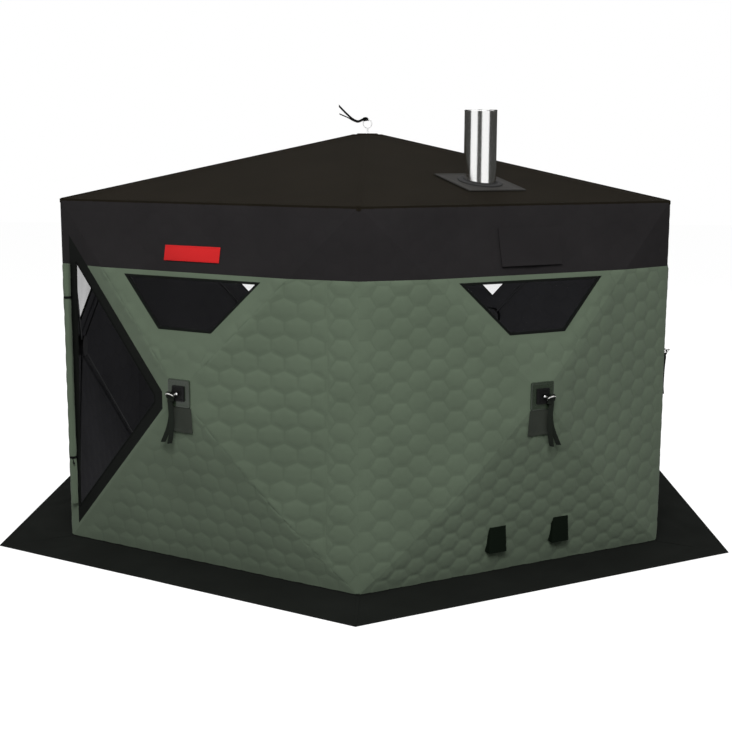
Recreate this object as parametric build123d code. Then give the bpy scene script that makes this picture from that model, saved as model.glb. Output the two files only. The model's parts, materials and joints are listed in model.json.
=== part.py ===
"""Six-sided pop-up ice fishing hut: quilted cloth on a frame of hubs and poles.

Millimetres, +Z up, origin on the ground at the centre of the hexagonal plan,
one wall corner towards -Y.  A wall is modelled facing -Y, with u along it, v
outward from the chord between its corners and z upward, and is then turned
about Z to its place.
"""
from build123d import *
from math import atan2, cos, degrees, hypot, radians, sin, tan
import os

# ---------------------------------------------------------------- plan and heights
side_count = 6
corner_radius = 1780.0        # centre of the plan to each outer wall corner
eave_height = 1776.0
apex_height = 2130.0          # where the roof's slopes would meet, over the flat crown
hub_height = 886.0            # middle of the wall hubs above the ground
hub_reach = 165.0             # how far the poles push each wall's middle outward

# ---------------------------------------------------------------- cloth
wall_thickness = 10.0
roof_thickness = 8.0
band_depth = 328.0            # black cloth below the eave, then green
skirt_width = 332.0
skirt_thickness = 3.0
patch_thickness = 2.0         # tape, patches and flaps
seat_gap = 0.3                # between loose pieces and what carries them

# ---------------------------------------------------------------- windows
window_gap = 27.0             # green strip between the band and the window
window_height = 247.0         # on the front walls, where a flat foot cuts off the tip
window_top_width = 804.0
window_bottom_width = 314.0
window_tape = 13.0            # black tape round the clear sheet
pane_thickness = 2.0

# ---------------------------------------------------------------- wall hubs
plate_width = 130.0
plate_height = 134.0
plate_thickness = 8.0
plate_corner = 9.0
boss_width = 74.0
boss_thickness = 7.0
bolt_radius = 6.0
bolt_head_radius = 10.0
bolt_head_height = 5.0
inner_hub_radius = 60.0
inner_hub_depth = 38.0
ring_radius = 21.0            # to the middle of the ring's wire
ring_wire_radius = 3.0
ring_drop = 12.0              # middle of the ring below the bolt
tab_width = 14.0              # steel tab that holds the ring under the bolt head
tab_thickness = 3.0
strap_width = 25.0
strap_thickness = 3.0
strap_drop = 232.0
strap_lean = 14.0             # degrees from plumb
strap_spread = 10.0           # degrees between the two tails
hub_flap_width = 150.0
hub_flap_drop = 124.0

# ---------------------------------------------------------------- frame
pole_radius = 5.5
pocket_radius = 20.0
pocket_height = 70.0
pocket_foot = 2.0             # lower pockets above the ground
pocket_drop = 6.0             # upper pockets below the roof cloth
roof_hub_radius = 75.0
roof_hub_depth = 45.0

# ---------------------------------------------------------------- doorway
door_inset = 62.0             # wall corner to the outer edge of the black surround
door_drop = 179.0             # top of the surround below the eave
door_foot = 83.0              # lowest point of the surround
door_tip_gap = 50.0           # hub plate to the blunt tip of the surround
door_tip_height = 84.0
door_tip_drop = 47.0          # middle of the tip below the hub
door_border = 62.0            # surround along the two slanted edges
door_post_top = 48.0          # surround beside the corner, at the opening's top
door_post_foot = 10.0         # and at its foot
roll_radius = 18.5
roll_foot = 196.0
roll_drop = 328.0             # top of the rolled door below the eave
tie_heights = (444.0, 1279.0)
tie_width = 12.0
tie_thickness = 2.0

# ---------------------------------------------------------------- roof fittings
pipe_radius = 80.0
pipe_wall = 1.2
pipe_rise = 352.0             # stove pipe above the roof cloth
pipe_tail = 150.0             # stove pipe below the roof cloth
pipe_inset = 388.0            # pipe axis inward from the wall's chord
flashing_width = 330.0
flashing_thickness = 6.0
boot_radius = 112.0
boot_thickness = 6.0
collar_height = 6.0           # boot's lip round the pipe
collar_wall = 5.0
cap_width = 182.0
cap_upper_width = 118.0
cap_thickness = 5.0
cap_ring_radius = 24.0
cap_stem_radius = 5.0
cap_stem_height = 28.0        # steel eye that lifts the ring off the cap
cap_strap_tails = ((165.0, 72.0), (162.0, 24.0))

# ---------------------------------------------------------------- wall fittings
vent_width = 345.0
vent_drop = 110.0             # top of the vent flap below the eave
vent_height = 178.0
vent_lift = 16.0              # how far the flap's free edge stands off
label_width = 330.0
label_height = 74.0
label_drop = 241.0            # middle of the plain red patch below the eave
hood_top_width = 95.0
hood_foot_width = 108.0
hood_height = 126.0
hood_depth = 32.0
hood_skin = 3.0
hood_foot = 121.0
hood_places = (-157.0, 216.0)

# ---------------------------------------------------------------- worked out
half_turn = 180.0 / side_count
apothem = corner_radius * cos(radians(half_turn))
half_side = corner_radius * sin(radians(half_turn))
roof_rise = (apex_height - eave_height) / apothem
crown_height = apex_height - roof_rise * cap_width / 2      # flat under the roof cap
facet_rise = eave_height - hub_height - plate_height / 2    # hub plate to eave
facet_drop = hub_height - plate_height / 2                  # hub plate to ground
cut_size = 2.0 * corner_radius                              # larger than the hut
wall_names = ("front_right", "right", "back_right", "back_left", "left", "front_left")
stove_wall = wall_names.index("front_right")
door_wall = wall_names.index("front_left")
front_walls = (stove_wall, door_wall)
UP = Vector(0, 0, 1)
ALONG = Vector(1, 0, 0)
RISING = (Align.CENTER, Align.CENTER, Align.MIN)


# ---------------------------------------------------------------- helpers
def save(name, solids):
    """Write one node from one shape, or from a list of separate ones."""
    shapes = solids if isinstance(solids, list) else [solids]
    pieces = [piece for shape in shapes for piece in shape.solids()]
    node = pieces[0] if len(pieces) == 1 else Compound(children=pieces)
    node.label = name
    export_step(node, f"parts/{name}.step")


def turn_of(index):
    """Degrees about Z from the wall facing -Y to wall number index."""
    return half_turn + index * 360.0 / side_count


def place(shape, index):
    """Turn a shape of the wall facing -Y to wall number index."""
    return shape.rotate(Axis.Z, turn_of(index))


def place_all(shape):
    """The same shape on every wall."""
    return [place(shape, index) for index in range(side_count)]


def place_plane(plane, index):
    """Turn a plane of the wall facing -Y to wall number index."""
    turn = turn_of(index)
    origin = plane.origin.rotate(Axis.Z, turn)
    return Plane(origin, plane.x_dir.rotate(Axis.Z, turn), plane.z_dir.rotate(Axis.Z, turn))


def spot(u, v, z):
    """A point of the wall facing -Y, from its place along, out and up."""
    return Vector(u, -(apothem + v), z)


def below(shape, plane):
    """The part of a shape behind a plane."""
    return split(shape, bisect_by=plane, keep=Keep.BOTTOM)


def above(shape, plane):
    """The part of a shape in front of a plane."""
    return split(shape, bisect_by=plane, keep=Keep.TOP)


def prism(points, plane, low, high):
    """A block over a polygon on a plane, between two levels on its normal."""
    face = make_face(Polyline(*points, close=True))
    return plane.offset(low) * extrude(face, amount=high - low)


def pad(plane, width, height, thickness, at=(0.0, 0.0)):
    """A rectangular piece lying on a plane, centred at a place on it."""
    return plane * Location((*at, 0)) * Box(width, height, thickness, align=RISING)


def rod(start, end, radius):
    """A round bar between two points."""
    axis = end - start
    return Plane(origin=start, z_dir=axis) * Cylinder(radius, axis.length, align=RISING)


def largest(shape):
    """The largest solid left after a cut."""
    return max(shape.solids(), key=lambda solid: solid.volume)


# ---------------------------------------------------------------- planes of a wall
def facing(point, along, across, depth):
    """A plane through a point, X along, Y across, sunk by a depth."""
    normal = along.cross(across).normalized()
    return Plane(origin=point - normal * depth, x_dir=along, z_dir=normal)


def top_facet(depth=0.0):
    """The upper triangle's plane, origin at the middle of the eave."""
    return facing(spot(0, 0, eave_height), ALONG, Vector(0, hub_reach, facet_rise), depth)


def bottom_facet(depth=0.0):
    """The lower triangle's plane, origin at the middle of the foot."""
    return facing(spot(0, 0, 0), ALONG, Vector(0, -hub_reach, facet_drop), depth)


def side_facet(hand, depth=0.0):
    """The plane beside a corner; hand is -1 for the left and 1 for the right."""
    inward = Vector(half_side - plate_width / 2, hub_reach * hand, 0)
    return facing(spot(hand * half_side, 0, 0), inward, UP, depth)


def hub_flat(depth=0.0):
    """The plane of the flat square under the hub plate, origin at the hub."""
    return facing(spot(0, hub_reach, hub_height), ALONG, UP, depth)


def chord_plane():
    """The upright plane between the wall's corners, origin on the ground."""
    return facing(spot(0, 0, 0), ALONG, UP, 0.0)


def roof_plane(depth=0.0):
    """The roof slope over a wall, origin at the middle of the eave."""
    return facing(spot(0, 0, eave_height), ALONG, Vector(0, 1, roof_rise), depth)


def down_top_facet(drop):
    """Place on the top facet's Y axis of a level below the eave."""
    return -drop * hypot(facet_rise, hub_reach) / facet_rise


def up_bottom_facet(height):
    """Place on the bottom facet's Y axis of a height above the ground."""
    return height * hypot(facet_drop, hub_reach) / facet_drop


def filled_sector(wall_depth, roof_depth):
    """The hut's filled shape between two corners, its skins sunk by depths."""
    reach = cut_size * tan(radians(half_turn))
    wedge = prism([(0, 0), (-reach, -cut_size), (reach, -cut_size)], Plane.XY, 0, cut_size)
    planes = [top_facet(wall_depth), bottom_facet(wall_depth), hub_flat(wall_depth)]
    planes += [side_facet(-1, wall_depth), side_facet(1, wall_depth), roof_plane(roof_depth)]
    planes.append(Plane.XY.offset(crown_height - roof_depth))
    for plane in planes:
        wedge = below(wedge, plane)
    return wedge


# ---------------------------------------------------------------- walls
def window_outline(flat_foot, inset=0.0):
    """The window on the top facet, drawn in by an inset: a triangle, its tip cut off or not."""
    lean = (window_top_width - window_bottom_width) / 2 / window_height
    top = down_top_facet(band_depth) - window_gap - inset
    upper = window_top_width / 2 - inset * lean - inset * hypot(lean, 1.0)
    if not flat_foot:
        return [(-upper, top), (upper, top), (0, top - upper / lean)]
    drop = window_height - 2 * inset
    lower = upper - drop * lean
    return [(-upper, top), (upper, top), (lower, top - drop), (-lower, top - drop)]


def surround_outline():
    """The outer edge of the door surround, on the wall's chord plane."""
    edge = door_inset - half_side
    tip = -plate_width / 2 - door_tip_gap
    middle = hub_height - door_tip_drop
    high = middle + door_tip_height / 2
    low = middle - door_tip_height / 2
    return [(edge, eave_height - door_drop), (tip, high), (tip, low), (edge, door_foot)]


def doorway_outline():
    """The doorway's opening, inside the surround's outer edge."""
    (edge, top), (tip, high), (tip, low), (edge, foot) = surround_outline()
    fall = (top - high) / (tip - edge)
    climb = (low - foot) / (tip - edge)
    upper = top - door_border * hypot(fall, 1.0)
    lower = foot + door_border * hypot(climb, 1.0)
    tip_in = tip - edge - door_border
    return [
        (edge + door_post_top, upper - fall * door_post_top),
        (edge + tip_in, upper - fall * tip_in),
        (edge + tip_in, lower + climb * tip_in),
        (edge + door_post_foot, lower + climb * door_post_foot),
    ]


def wall_skin(flat_foot):
    """A wall's cloth, hollow behind, with its window and the hole of the hub's bolt."""
    skin = filled_sector(0, roof_thickness) - filled_sector(wall_thickness, -roof_thickness)
    skin -= prism(window_outline(flat_foot), top_facet(), -2 * wall_thickness, wall_thickness)
    return skin - rod(spot(0, 0, hub_height), spot(0, 2 * hub_reach, hub_height), bolt_radius)


def make_walls():
    """Green walls and black bands, with the black surround of the doorway."""
    seam = Plane.XY.offset(eave_height - band_depth)
    front, hidden = wall_skin(True), wall_skin(False)
    whole_surround = prism(surround_outline(), chord_plane(), -hub_reach, 2 * hub_reach)
    opening = prism(doorway_outline(), chord_plane(), -hub_reach, 2 * hub_reach)
    for index, name in enumerate(wall_names):
        wall = front if index in front_walls else hidden
        if index == door_wall:
            wall -= whole_surround
        save(f"{name}_wall", place(below(wall, seam), index))
        save(f"{name}_band", place(above(wall, seam), index))
    save("door_surround", place((front & whole_surround) - opening, door_wall))


def make_windows():
    """The clear sheets and the black tape round them."""
    back = -(wall_thickness + pane_thickness) / 2
    tapes = []
    panes = []
    for index in range(side_count):
        whole = window_outline(index in front_walls)
        clear = window_outline(index in front_walls, window_tape)
        tape = prism(whole, top_facet(), -wall_thickness, patch_thickness)
        tape -= prism(clear, top_facet(), -2 * wall_thickness, wall_thickness)
        tapes.append(place(tape, index))
        panes.append(place(prism(clear, top_facet(), back, back + pane_thickness), index))
    save("window_tapes", tapes)
    save("window_panes", panes)


# ---------------------------------------------------------------- hub fittings
def strap_hand(index):
    """The side to which a wall's ring and strap fall, the front pair apart."""
    return -1 if index % 2 else 1


def hub_ring(hand):
    """The ring beside the bolt, on a steel tab that the bolt head holds."""
    face = hub_flat().offset(plate_thickness + boss_thickness)
    reach = ring_radius + bolt_radius + ring_wire_radius
    at = Location((hand * reach, -ring_drop, ring_wire_radius))
    ring = face * at * Torus(ring_radius, ring_wire_radius)
    length = bolt_radius + bolt_head_radius + ring_wire_radius
    tab = pad(face, length, tab_width, tab_thickness, (hand * (length - bolt_head_radius) / 2, 0))
    return largest(ring + tab) - hub_bolt()


def hub_bolt():
    """The bolt from the inner hub out through cloth, plate, boss and tab."""
    inner = spot(0, hub_reach - wall_thickness, hub_height)
    seat = plate_thickness + boss_thickness + tab_thickness
    outer = spot(0, hub_reach + seat, hub_height)
    head = hub_flat().offset(seat) * Cylinder(bolt_head_radius, bolt_head_height, align=RISING)
    return rod(inner, outer, bolt_radius) + head


def pull_strap(hand):
    """Two flat webbing tails that hang from the ring."""
    level = plate_thickness + boss_thickness + 2 * ring_wire_radius + seat_gap
    side = hand * (ring_radius + bolt_radius + ring_wire_radius)
    top = strap_width / 2 - ring_drop - ring_radius
    tails = []
    for step in range(2):
        at = Location((side, top, step * strap_thickness), (0, 0, hand * (strap_lean + step * strap_spread)))
        block = Box(strap_width, strap_drop, strap_thickness, align=(Align.CENTER, Align.MAX, Align.MIN))
        tails.append(hub_flat().offset(level) * at * block)
    return tails[0] + tails[1]


def make_hubs():
    """Plates, bosses, bolts, rings, straps and flaps of the wall hubs."""
    flat = hub_flat()
    plate = pad(flat, plate_width, plate_height, plate_thickness)
    plate = fillet(plate.edges().filter_by(Axis.Y), plate_corner) - hub_bolt()
    boss = pad(flat.offset(plate_thickness), boss_width, boss_width, boss_thickness) - hub_bolt()
    hang = up_bottom_facet(facet_drop) - hub_flap_drop / 2
    flap = pad(bottom_facet(), hub_flap_width, hub_flap_drop, patch_thickness, (0, hang))
    save("hub_plates", place_all(plate))
    save("hub_bosses", place_all(boss))
    save("hub_bolts", place_all(hub_bolt()))
    save("hub_flaps", place_all(flap))
    save("hub_rings", [place(hub_ring(strap_hand(index)), index) for index in range(side_count)])
    save("pull_straps", [place(pull_strap(strap_hand(index)), index) for index in range(side_count)])


# ---------------------------------------------------------------- frame
def pocket_reach():
    """Centre of the plan to the middle of a pole pocket, clear of the walls."""
    facet = atan2(hub_reach, facet_drop)
    return corner_radius - (wall_thickness / cos(facet) + pocket_radius + seat_gap) / cos(radians(half_turn))


def pocket(foot):
    """A pole pocket behind the corner towards -Y, standing at a height."""
    return Location((0, -pocket_reach(), foot)) * Cylinder(pocket_radius, pocket_height, align=RISING)


def make_frame():
    """Inner hubs, wall poles, roof poles, roof hub and corner pockets."""
    inner = hub_reach - wall_thickness
    head_foot = eave_height - roof_thickness - pocket_drop - pocket_height
    pockets = [pocket(pocket_foot), pocket(head_foot)]
    drum = rod(spot(0, inner - inner_hub_depth, hub_height), spot(0, inner, hub_height), inner_hub_radius)
    centre = spot(0, inner - inner_hub_depth / 2, hub_height)
    poles = []
    for hand in (-1, 1):
        turn = hand * half_turn
        for end, foot in zip(pockets, (pocket_foot, head_foot)):
            corner = Vector(0, -pocket_reach(), foot + pocket_height / 2).rotate(Axis.Z, turn)
            bar = rod(centre, corner, pole_radius) - drum - end.rotate(Axis.Z, turn)
            poles.append(largest(bar))
    save("inner_hubs", place_all(drum))
    save("wall_poles", [place(pole, index) for index in range(side_count) for pole in poles])
    crown = crown_height - roof_thickness
    hub = Location((0, 0, crown - roof_hub_depth)) * Cylinder(roof_hub_radius, roof_hub_depth, align=RISING)
    corner = Vector(0, -pocket_reach(), head_foot + pocket_height / 2)
    bar = largest(rod(Vector(0, 0, crown - roof_hub_depth / 2), corner, pole_radius) - hub - pockets[1])
    turns = [index * 360.0 / side_count for index in range(side_count)]
    save("roof_hub", hub)
    save("roof_poles", [bar.rotate(Axis.Z, turn) for turn in turns])
    save("corner_pockets", [end.rotate(Axis.Z, turn) for turn in turns for end in pockets])


# ---------------------------------------------------------------- roof
def make_roof():
    """Six roof panels, with the stove pipe, its rubber boot and its flashing."""
    panel = filled_sector(0, 0) - filled_sector(-wall_thickness, roof_thickness)
    centre = spot(0, -pipe_inset, eave_height + roof_rise * pipe_inset)
    axis = Location((centre.X, centre.Y, 0))
    hole = axis * Cylinder(pipe_radius, cut_size, align=RISING)
    for index, name in enumerate(wall_names):
        save(f"{name}_roof", place(panel - hole if index == stove_wall else panel, index))
    slope = Plane(origin=centre, x_dir=ALONG, z_dir=roof_plane().z_dir)
    flashing = pad(slope, flashing_width, flashing_width, flashing_thickness) - hole
    foot = slope.offset(flashing_thickness)
    sleeve = axis * Cylinder(pipe_radius + collar_wall, cut_size, align=RISING)
    collar = below(above(sleeve, foot), foot.offset(boot_thickness + collar_height))
    boot = foot * Cylinder(boot_radius, boot_thickness, align=RISING) + collar - hole
    length = pipe_tail + pipe_rise
    tube = Cylinder(pipe_radius, length, align=RISING) - Cylinder(pipe_radius - pipe_wall, length, align=RISING)
    save("stove_flashing", place(flashing, stove_wall))
    save("stove_boot", place(boot, stove_wall))
    save("stove_pipe", place(Location(centre - UP * pipe_tail) * tube, stove_wall))


def roof_block(width, lift):
    """A square block up to the roof's outer face raised by a lift."""
    block = Box(width, width, crown_height + lift, align=RISING)
    for index in range(side_count):
        block = below(block, place_plane(roof_plane(-lift), index))
    return block


def make_roof_cap():
    """The stacked patches over the roof's middle, with their ring and strap."""
    cap = roof_block(cap_width, cap_thickness) + roof_block(cap_upper_width, 2 * cap_thickness)
    save("roof_cap", cap - roof_block(2 * cap_width, 0))
    crown = crown_height + 2 * cap_thickness
    outer = cap_ring_radius + ring_wire_radius
    middle = crown + cap_stem_height + outer
    stem = Location((0, 0, crown)) * Cylinder(cap_stem_radius, cap_stem_height + ring_wire_radius, align=RISING)
    save("roof_ring", Location((0, 0, middle), (90, 0, 0)) * Torus(cap_ring_radius, ring_wire_radius) + stem)
    tails = []
    for step, (reach, lift) in enumerate(cap_strap_tails):
        block = Box(hypot(reach, lift), strap_width, strap_thickness, align=(Align.MAX, Align.CENTER, Align.MIN))
        level = middle + outer + seat_gap + strap_thickness * (1 - step)
        tails.append(Location((0, 0, level), (0, degrees(atan2(lift, reach)), 0)) * block)
    save("roof_strap", tails[0] + tails[1])


# ---------------------------------------------------------------- skirt and wall fittings
def make_skirt():
    """The flat snow skirt round the foot of the walls."""
    outer = (apothem + skirt_width) / cos(radians(half_turn))
    skirt = extrude(RegularPolygon(outer, side_count, rotation=-90.0), amount=skirt_thickness)
    for index in range(side_count):
        skirt -= place(filled_sector(0, 0), index)
    save("snow_skirt", skirt)


def hood_wedge(at, skin):
    """A hood's wedge on the bottom facet, or its hollow for a skin thickness."""
    face = bottom_facet()
    foot = up_bottom_facet(hood_foot) - skin
    head = foot + hood_height
    lower = hood_foot_width / 2 - skin
    upper = hood_top_width / 2 - skin
    outline = [(at - lower, foot), (at + lower, foot), (at + upper, head), (at - upper, head)]
    block = prism(outline, face, 0, hood_depth)
    tip = face.origin + face.y_dir * head
    lip = face.origin + face.y_dir * foot + face.z_dir * (hood_depth - skin)
    return below(block, facing(tip, ALONG, tip - lip, 0.0))


def make_fittings():
    """Vent flap and cord hoods on the stove wall, plain patch on the door wall."""
    face = top_facet()
    high = down_top_facet(vent_drop)
    low = high - vent_height
    outline = [(0, high), (vent_lift, low), (vent_lift + patch_thickness, low), (patch_thickness, high)]
    side = Plane(origin=face.origin, x_dir=face.z_dir, z_dir=-ALONG)
    flap = prism(outline, side, -vent_width / 2, vent_width / 2)
    label = pad(face, label_width, label_height, patch_thickness, (0, down_top_facet(label_drop)))
    hoods = [hood_wedge(at, 0.0) - hood_wedge(at, hood_skin) for at in hood_places]
    save("vent_flap", place(flap, stove_wall))
    save("red_patch", place(label, door_wall))
    save("cord_hoods", [place(hood, stove_wall) for hood in hoods])


def make_door():
    """The door panel rolled up beside the doorway, and its two ties."""
    face = side_facet(-1)
    axis = face.origin + face.x_dir * door_inset + face.z_dir * (roll_radius + seat_gap)
    roll = rod(axis + UP * roll_foot, axis + UP * (eave_height - roll_drop), roll_radius)
    save("rolled_door", place(roll, door_wall))
    ties = []
    for height in tie_heights:
        foot = axis + UP * (height - tie_width / 2)
        ring = rod(foot, foot + UP * tie_width, roll_radius + tie_thickness) - roll
        ties.append(place(above(ring, face), door_wall))
    save("door_ties", ties)


def main():
    """Build every node and write it to the parts folder."""
    os.makedirs("parts", exist_ok=True)
    make_walls()
    make_windows()
    make_hubs()
    make_frame()
    make_roof()
    make_roof_cap()
    make_skirt()
    make_fittings()
    make_door()


main()
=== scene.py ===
"""Dresses a six-sided pop-up ice fishing hut: quilted walls, roof, door, windows and fittings.

Metres, Z up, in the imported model's frame.  A wall is built in its own
coordinates, u along it, v outward from the chord between its corners and z
upward, and is then turned about Z to its place.
"""
from __future__ import annotations

import json
import logging
import math
from dataclasses import dataclass, field
from enum import Enum
from functools import partial
from typing import Callable, Sequence, TypeVar

import bmesh
import bpy
import numpy as np
from mathutils import Matrix, Vector

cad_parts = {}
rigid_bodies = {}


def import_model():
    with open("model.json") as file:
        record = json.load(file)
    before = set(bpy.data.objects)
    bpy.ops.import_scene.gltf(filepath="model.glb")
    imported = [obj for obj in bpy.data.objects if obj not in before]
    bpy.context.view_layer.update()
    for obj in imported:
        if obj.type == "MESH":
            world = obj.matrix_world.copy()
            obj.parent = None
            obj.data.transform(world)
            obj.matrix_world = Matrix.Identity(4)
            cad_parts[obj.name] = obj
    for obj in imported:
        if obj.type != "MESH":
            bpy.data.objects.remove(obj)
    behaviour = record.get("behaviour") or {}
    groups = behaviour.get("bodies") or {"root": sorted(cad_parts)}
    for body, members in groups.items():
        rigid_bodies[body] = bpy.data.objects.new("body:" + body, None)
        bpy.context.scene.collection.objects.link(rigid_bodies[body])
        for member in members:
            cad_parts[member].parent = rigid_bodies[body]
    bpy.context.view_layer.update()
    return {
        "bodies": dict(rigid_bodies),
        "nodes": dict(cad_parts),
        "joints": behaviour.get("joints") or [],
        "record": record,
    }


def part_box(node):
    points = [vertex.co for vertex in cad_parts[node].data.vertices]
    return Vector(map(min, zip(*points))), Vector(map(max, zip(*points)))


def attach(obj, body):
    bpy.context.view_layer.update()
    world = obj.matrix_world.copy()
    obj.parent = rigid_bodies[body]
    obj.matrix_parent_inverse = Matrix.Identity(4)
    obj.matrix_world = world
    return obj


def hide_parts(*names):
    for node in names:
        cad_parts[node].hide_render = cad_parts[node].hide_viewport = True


LOG = logging.getLogger("hut")
BODY = "root"
SIDES = 6
TURN = 2 * math.pi
HALF_TURN = math.pi / SIDES
WELD = 3e-5
UP = Vector((0.0, 0.0, 1.0))
SQUARE = ((-1, -1), (1, -1), (1, 1), (-1, 1))

Point = tuple[float, float]
Outline = Sequence[Point]
Mesh = bmesh.types.BMesh
Vert = bmesh.types.BMVert
Spot = tuple[float, float, float]
Values = np.ndarray | float
Item = TypeVar("Item")
Object = bpy.types.Object
Socket = bpy.types.NodeSocket
Inputs = dict[str | int, Socket | float | Sequence[float]]


class Side(Enum):
    """The six walls, in order round the plan from the one with the stove pipe."""

    FRONT_RIGHT = 0
    RIGHT = 1
    BACK_RIGHT = 2
    BACK_LEFT = 3
    LEFT = 4
    FRONT_LEFT = 5

    @property
    def label(self) -> str:
        """The wall's name as the frame spells it."""
        return self.name.lower()

    @property
    def turn(self) -> Matrix:
        """The turn about Z that takes the wall facing -Y to this side."""
        return Matrix.Rotation(HALF_TURN + self.value * 2 * HALF_TURN, 4, "Z")

    @property
    def hand(self) -> int:
        """The side to which the pull ring and its strap fall."""
        return -1 if self.value % 2 else 1


STOVE_SIDE = Side.FRONT_RIGHT
DOOR_SIDE = Side.FRONT_LEFT


# ---- finishes
class Network:
    """The nodes of one material or of the world."""

    def __init__(self, tree: bpy.types.NodeTree) -> None:
        """Keep the tree's nodes and links."""
        self.nodes, self.links = tree.nodes, tree.links

    def fill(self, node: bpy.types.Node, inputs: Inputs) -> None:
        """Set a node's sockets, or join them to others.

        Args:
            node: The node.
            inputs: A number, a colour or another node's socket for each socket.
        """
        for name, value in inputs.items():
            if isinstance(value, Socket):
                self.links.new(value, node.inputs[name])
            else:
                node.inputs[name].default_value = value

    def add(self, kind: str, inputs: Inputs | None = None, **options: str) -> bpy.types.Node:
        """Add a node.

        Args:
            kind: Its type, without the ShaderNode in front.
            inputs: What goes into its sockets.
            options: Its settings by name.

        Returns:
            The node.
        """
        node = self.nodes.new(f"ShaderNode{kind}")
        for name, value in options.items():
            setattr(node, name, value)
        self.fill(node, inputs or {})
        return node

    def remap(self, value: Socket, old: Point, new: Point) -> Socket:
        """Take a value from an old range to a new one."""
        ends = {"From Min": old[0], "From Max": old[1], "To Min": new[0], "To Max": new[1]}
        return self.add("MapRange", {"Value": value, **ends}).outputs["Result"]

    def both(self, operation: str, first: Socket, second: Socket) -> Socket:
        """Work out one value from two."""
        return self.add("Math", {0: first, 1: second}, operation=operation).outputs["Value"]

    def seen_ray(self) -> Socket:
        """1 for rays that look at the background, straight or by gloss or glass.

        Returns:
            The socket with the answer.
        """
        path = self.add("LightPath").outputs
        shown = self.both("MAXIMUM", path["Is Camera Ray"], path["Is Glossy Ray"])
        return self.both("MAXIMUM", shown, path["Is Transmission Ray"])


def new_material(name: str) -> tuple[bpy.types.Material, Network, bpy.types.Node]:
    """Start a material.

    Args:
        name: Its name.

    Returns:
        The material, its nodes and its main shader.
    """
    made = bpy.data.materials.new(name)
    made.use_nodes = True
    net = Network(made.node_tree)
    return made, net, net.nodes["Principled BSDF"]


class Weave(Enum):
    """The surface pattern of a finish."""

    OXFORD = "oxford"
    WEBBING = "webbing"
    BRUSHED = "brushed"
    MOULDED = "moulded"


@dataclass(frozen=True)
class Surface:
    """A named material, and the slot of the frame that it goes in."""

    name: str
    slot: str

    def material(self) -> bpy.types.Material:
        """The material, made once."""
        return bpy.data.materials.get(self.name) or self._make()

    def _make(self) -> bpy.types.Material:
        """Build the material."""
        raise NotImplementedError


@dataclass(frozen=True)
class Finish(Surface):
    """One opaque finish: its colour, gloss and surface pattern."""

    colour: Spot
    roughness: float
    weave: Weave
    metallic: float = 0.0
    sheen: float = 0.0
    specular: float = 0.5
    variation: float = 0.12
    grain: float = 900.0
    bump: float = 0.25
    # Darkening along the quilting's seams: partly the thread's darker tone, partly painted shade in the seam
    # valleys.
    seam_shade: float = 0.0
    coat: float = 0.0
    gloss_spread: float = 0.08

    def _make(self) -> bpy.types.Material:
        """Build the material: a cloudy colour, darkened along the seams by painted shade and the thread's
        darker tone, under a fine pattern of gloss and relief.

        Returns:
            The material.
        """
        made, net, shader = new_material(self.name)
        place = net.add("TexCoord").outputs["Object"]
        cloudy = net.add("TexNoise", {"Vector": place, "Scale": 3.5, "Detail": 6.0})
        shade = net.remap(cloudy.outputs["Fac"], (0.3, 0.7), (1.0 - self.variation, 1.0 + self.variation))
        # Painted shade with the thread's darker tone: the 'seam' attribute darkens the colour towards each
        # seam.
        if self.seam_shade:
            seam = net.add("Attribute", attribute_name="seam").outputs["Fac"]
            shade = net.both("MULTIPLY", shade, net.remap(seam, (0.88, 1.0), (1.0, 1.0 - self.seam_shade)))
        tinted = net.add("VectorMath", {0: self.colour, "Scale": shade}, operation="SCALE")
        fine = self._fine_pattern(net, place)
        gloss = (max(self.roughness - self.gloss_spread, 0.02), min(self.roughness + self.gloss_spread, 1.0))
        relief = net.add("Bump", {"Strength": self.bump, "Distance": 0.0006, "Height": fine})
        net.fill(shader, {
            "Base Color": tinted.outputs["Vector"], "Roughness": net.remap(fine, (0.0, 1.0), gloss),
            "Metallic": self.metallic, "Specular IOR Level": self.specular, "Sheen Weight": self.sheen,
            "Sheen Roughness": 0.6, "Coat Weight": self.coat, "Coat Roughness": 0.25,
            "Normal": relief.outputs["Normal"],
        })
        return made

    def _fine_pattern(self, net: Network, place: Socket) -> Socket:
        """The weave, brushing or moulding grain.

        Args:
            net: The material's nodes.
            place: Places on the piece.

        Returns:
            The pattern's height, from 0 to 1.
        """
        scale = self.grain / 4
        if self.weave in (Weave.OXFORD, Weave.WEBBING):
            ways = ("X", "Z") if self.weave is Weave.OXFORD else ("DIAGONAL", "DIAGONAL")
            thread = {"Vector": place, "Scale": scale, "Distortion": 1.2, "Detail": 1.0}
            waves = [net.add("TexWave", thread, wave_type="BANDS", bands_direction=way) for way in ways]
            return net.both("MAXIMUM", *(wave.outputs["Fac"] for wave in waves))
        stretch = (1.0, 1.0, 0.02) if self.weave is Weave.BRUSHED else (1.0, 1.0, 1.0)
        along = net.add("Mapping", {"Vector": place, "Scale": stretch}).outputs["Vector"]
        return net.add("TexNoise", {"Vector": along, "Scale": scale, "Detail": 4.0}).outputs["Fac"]


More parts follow.
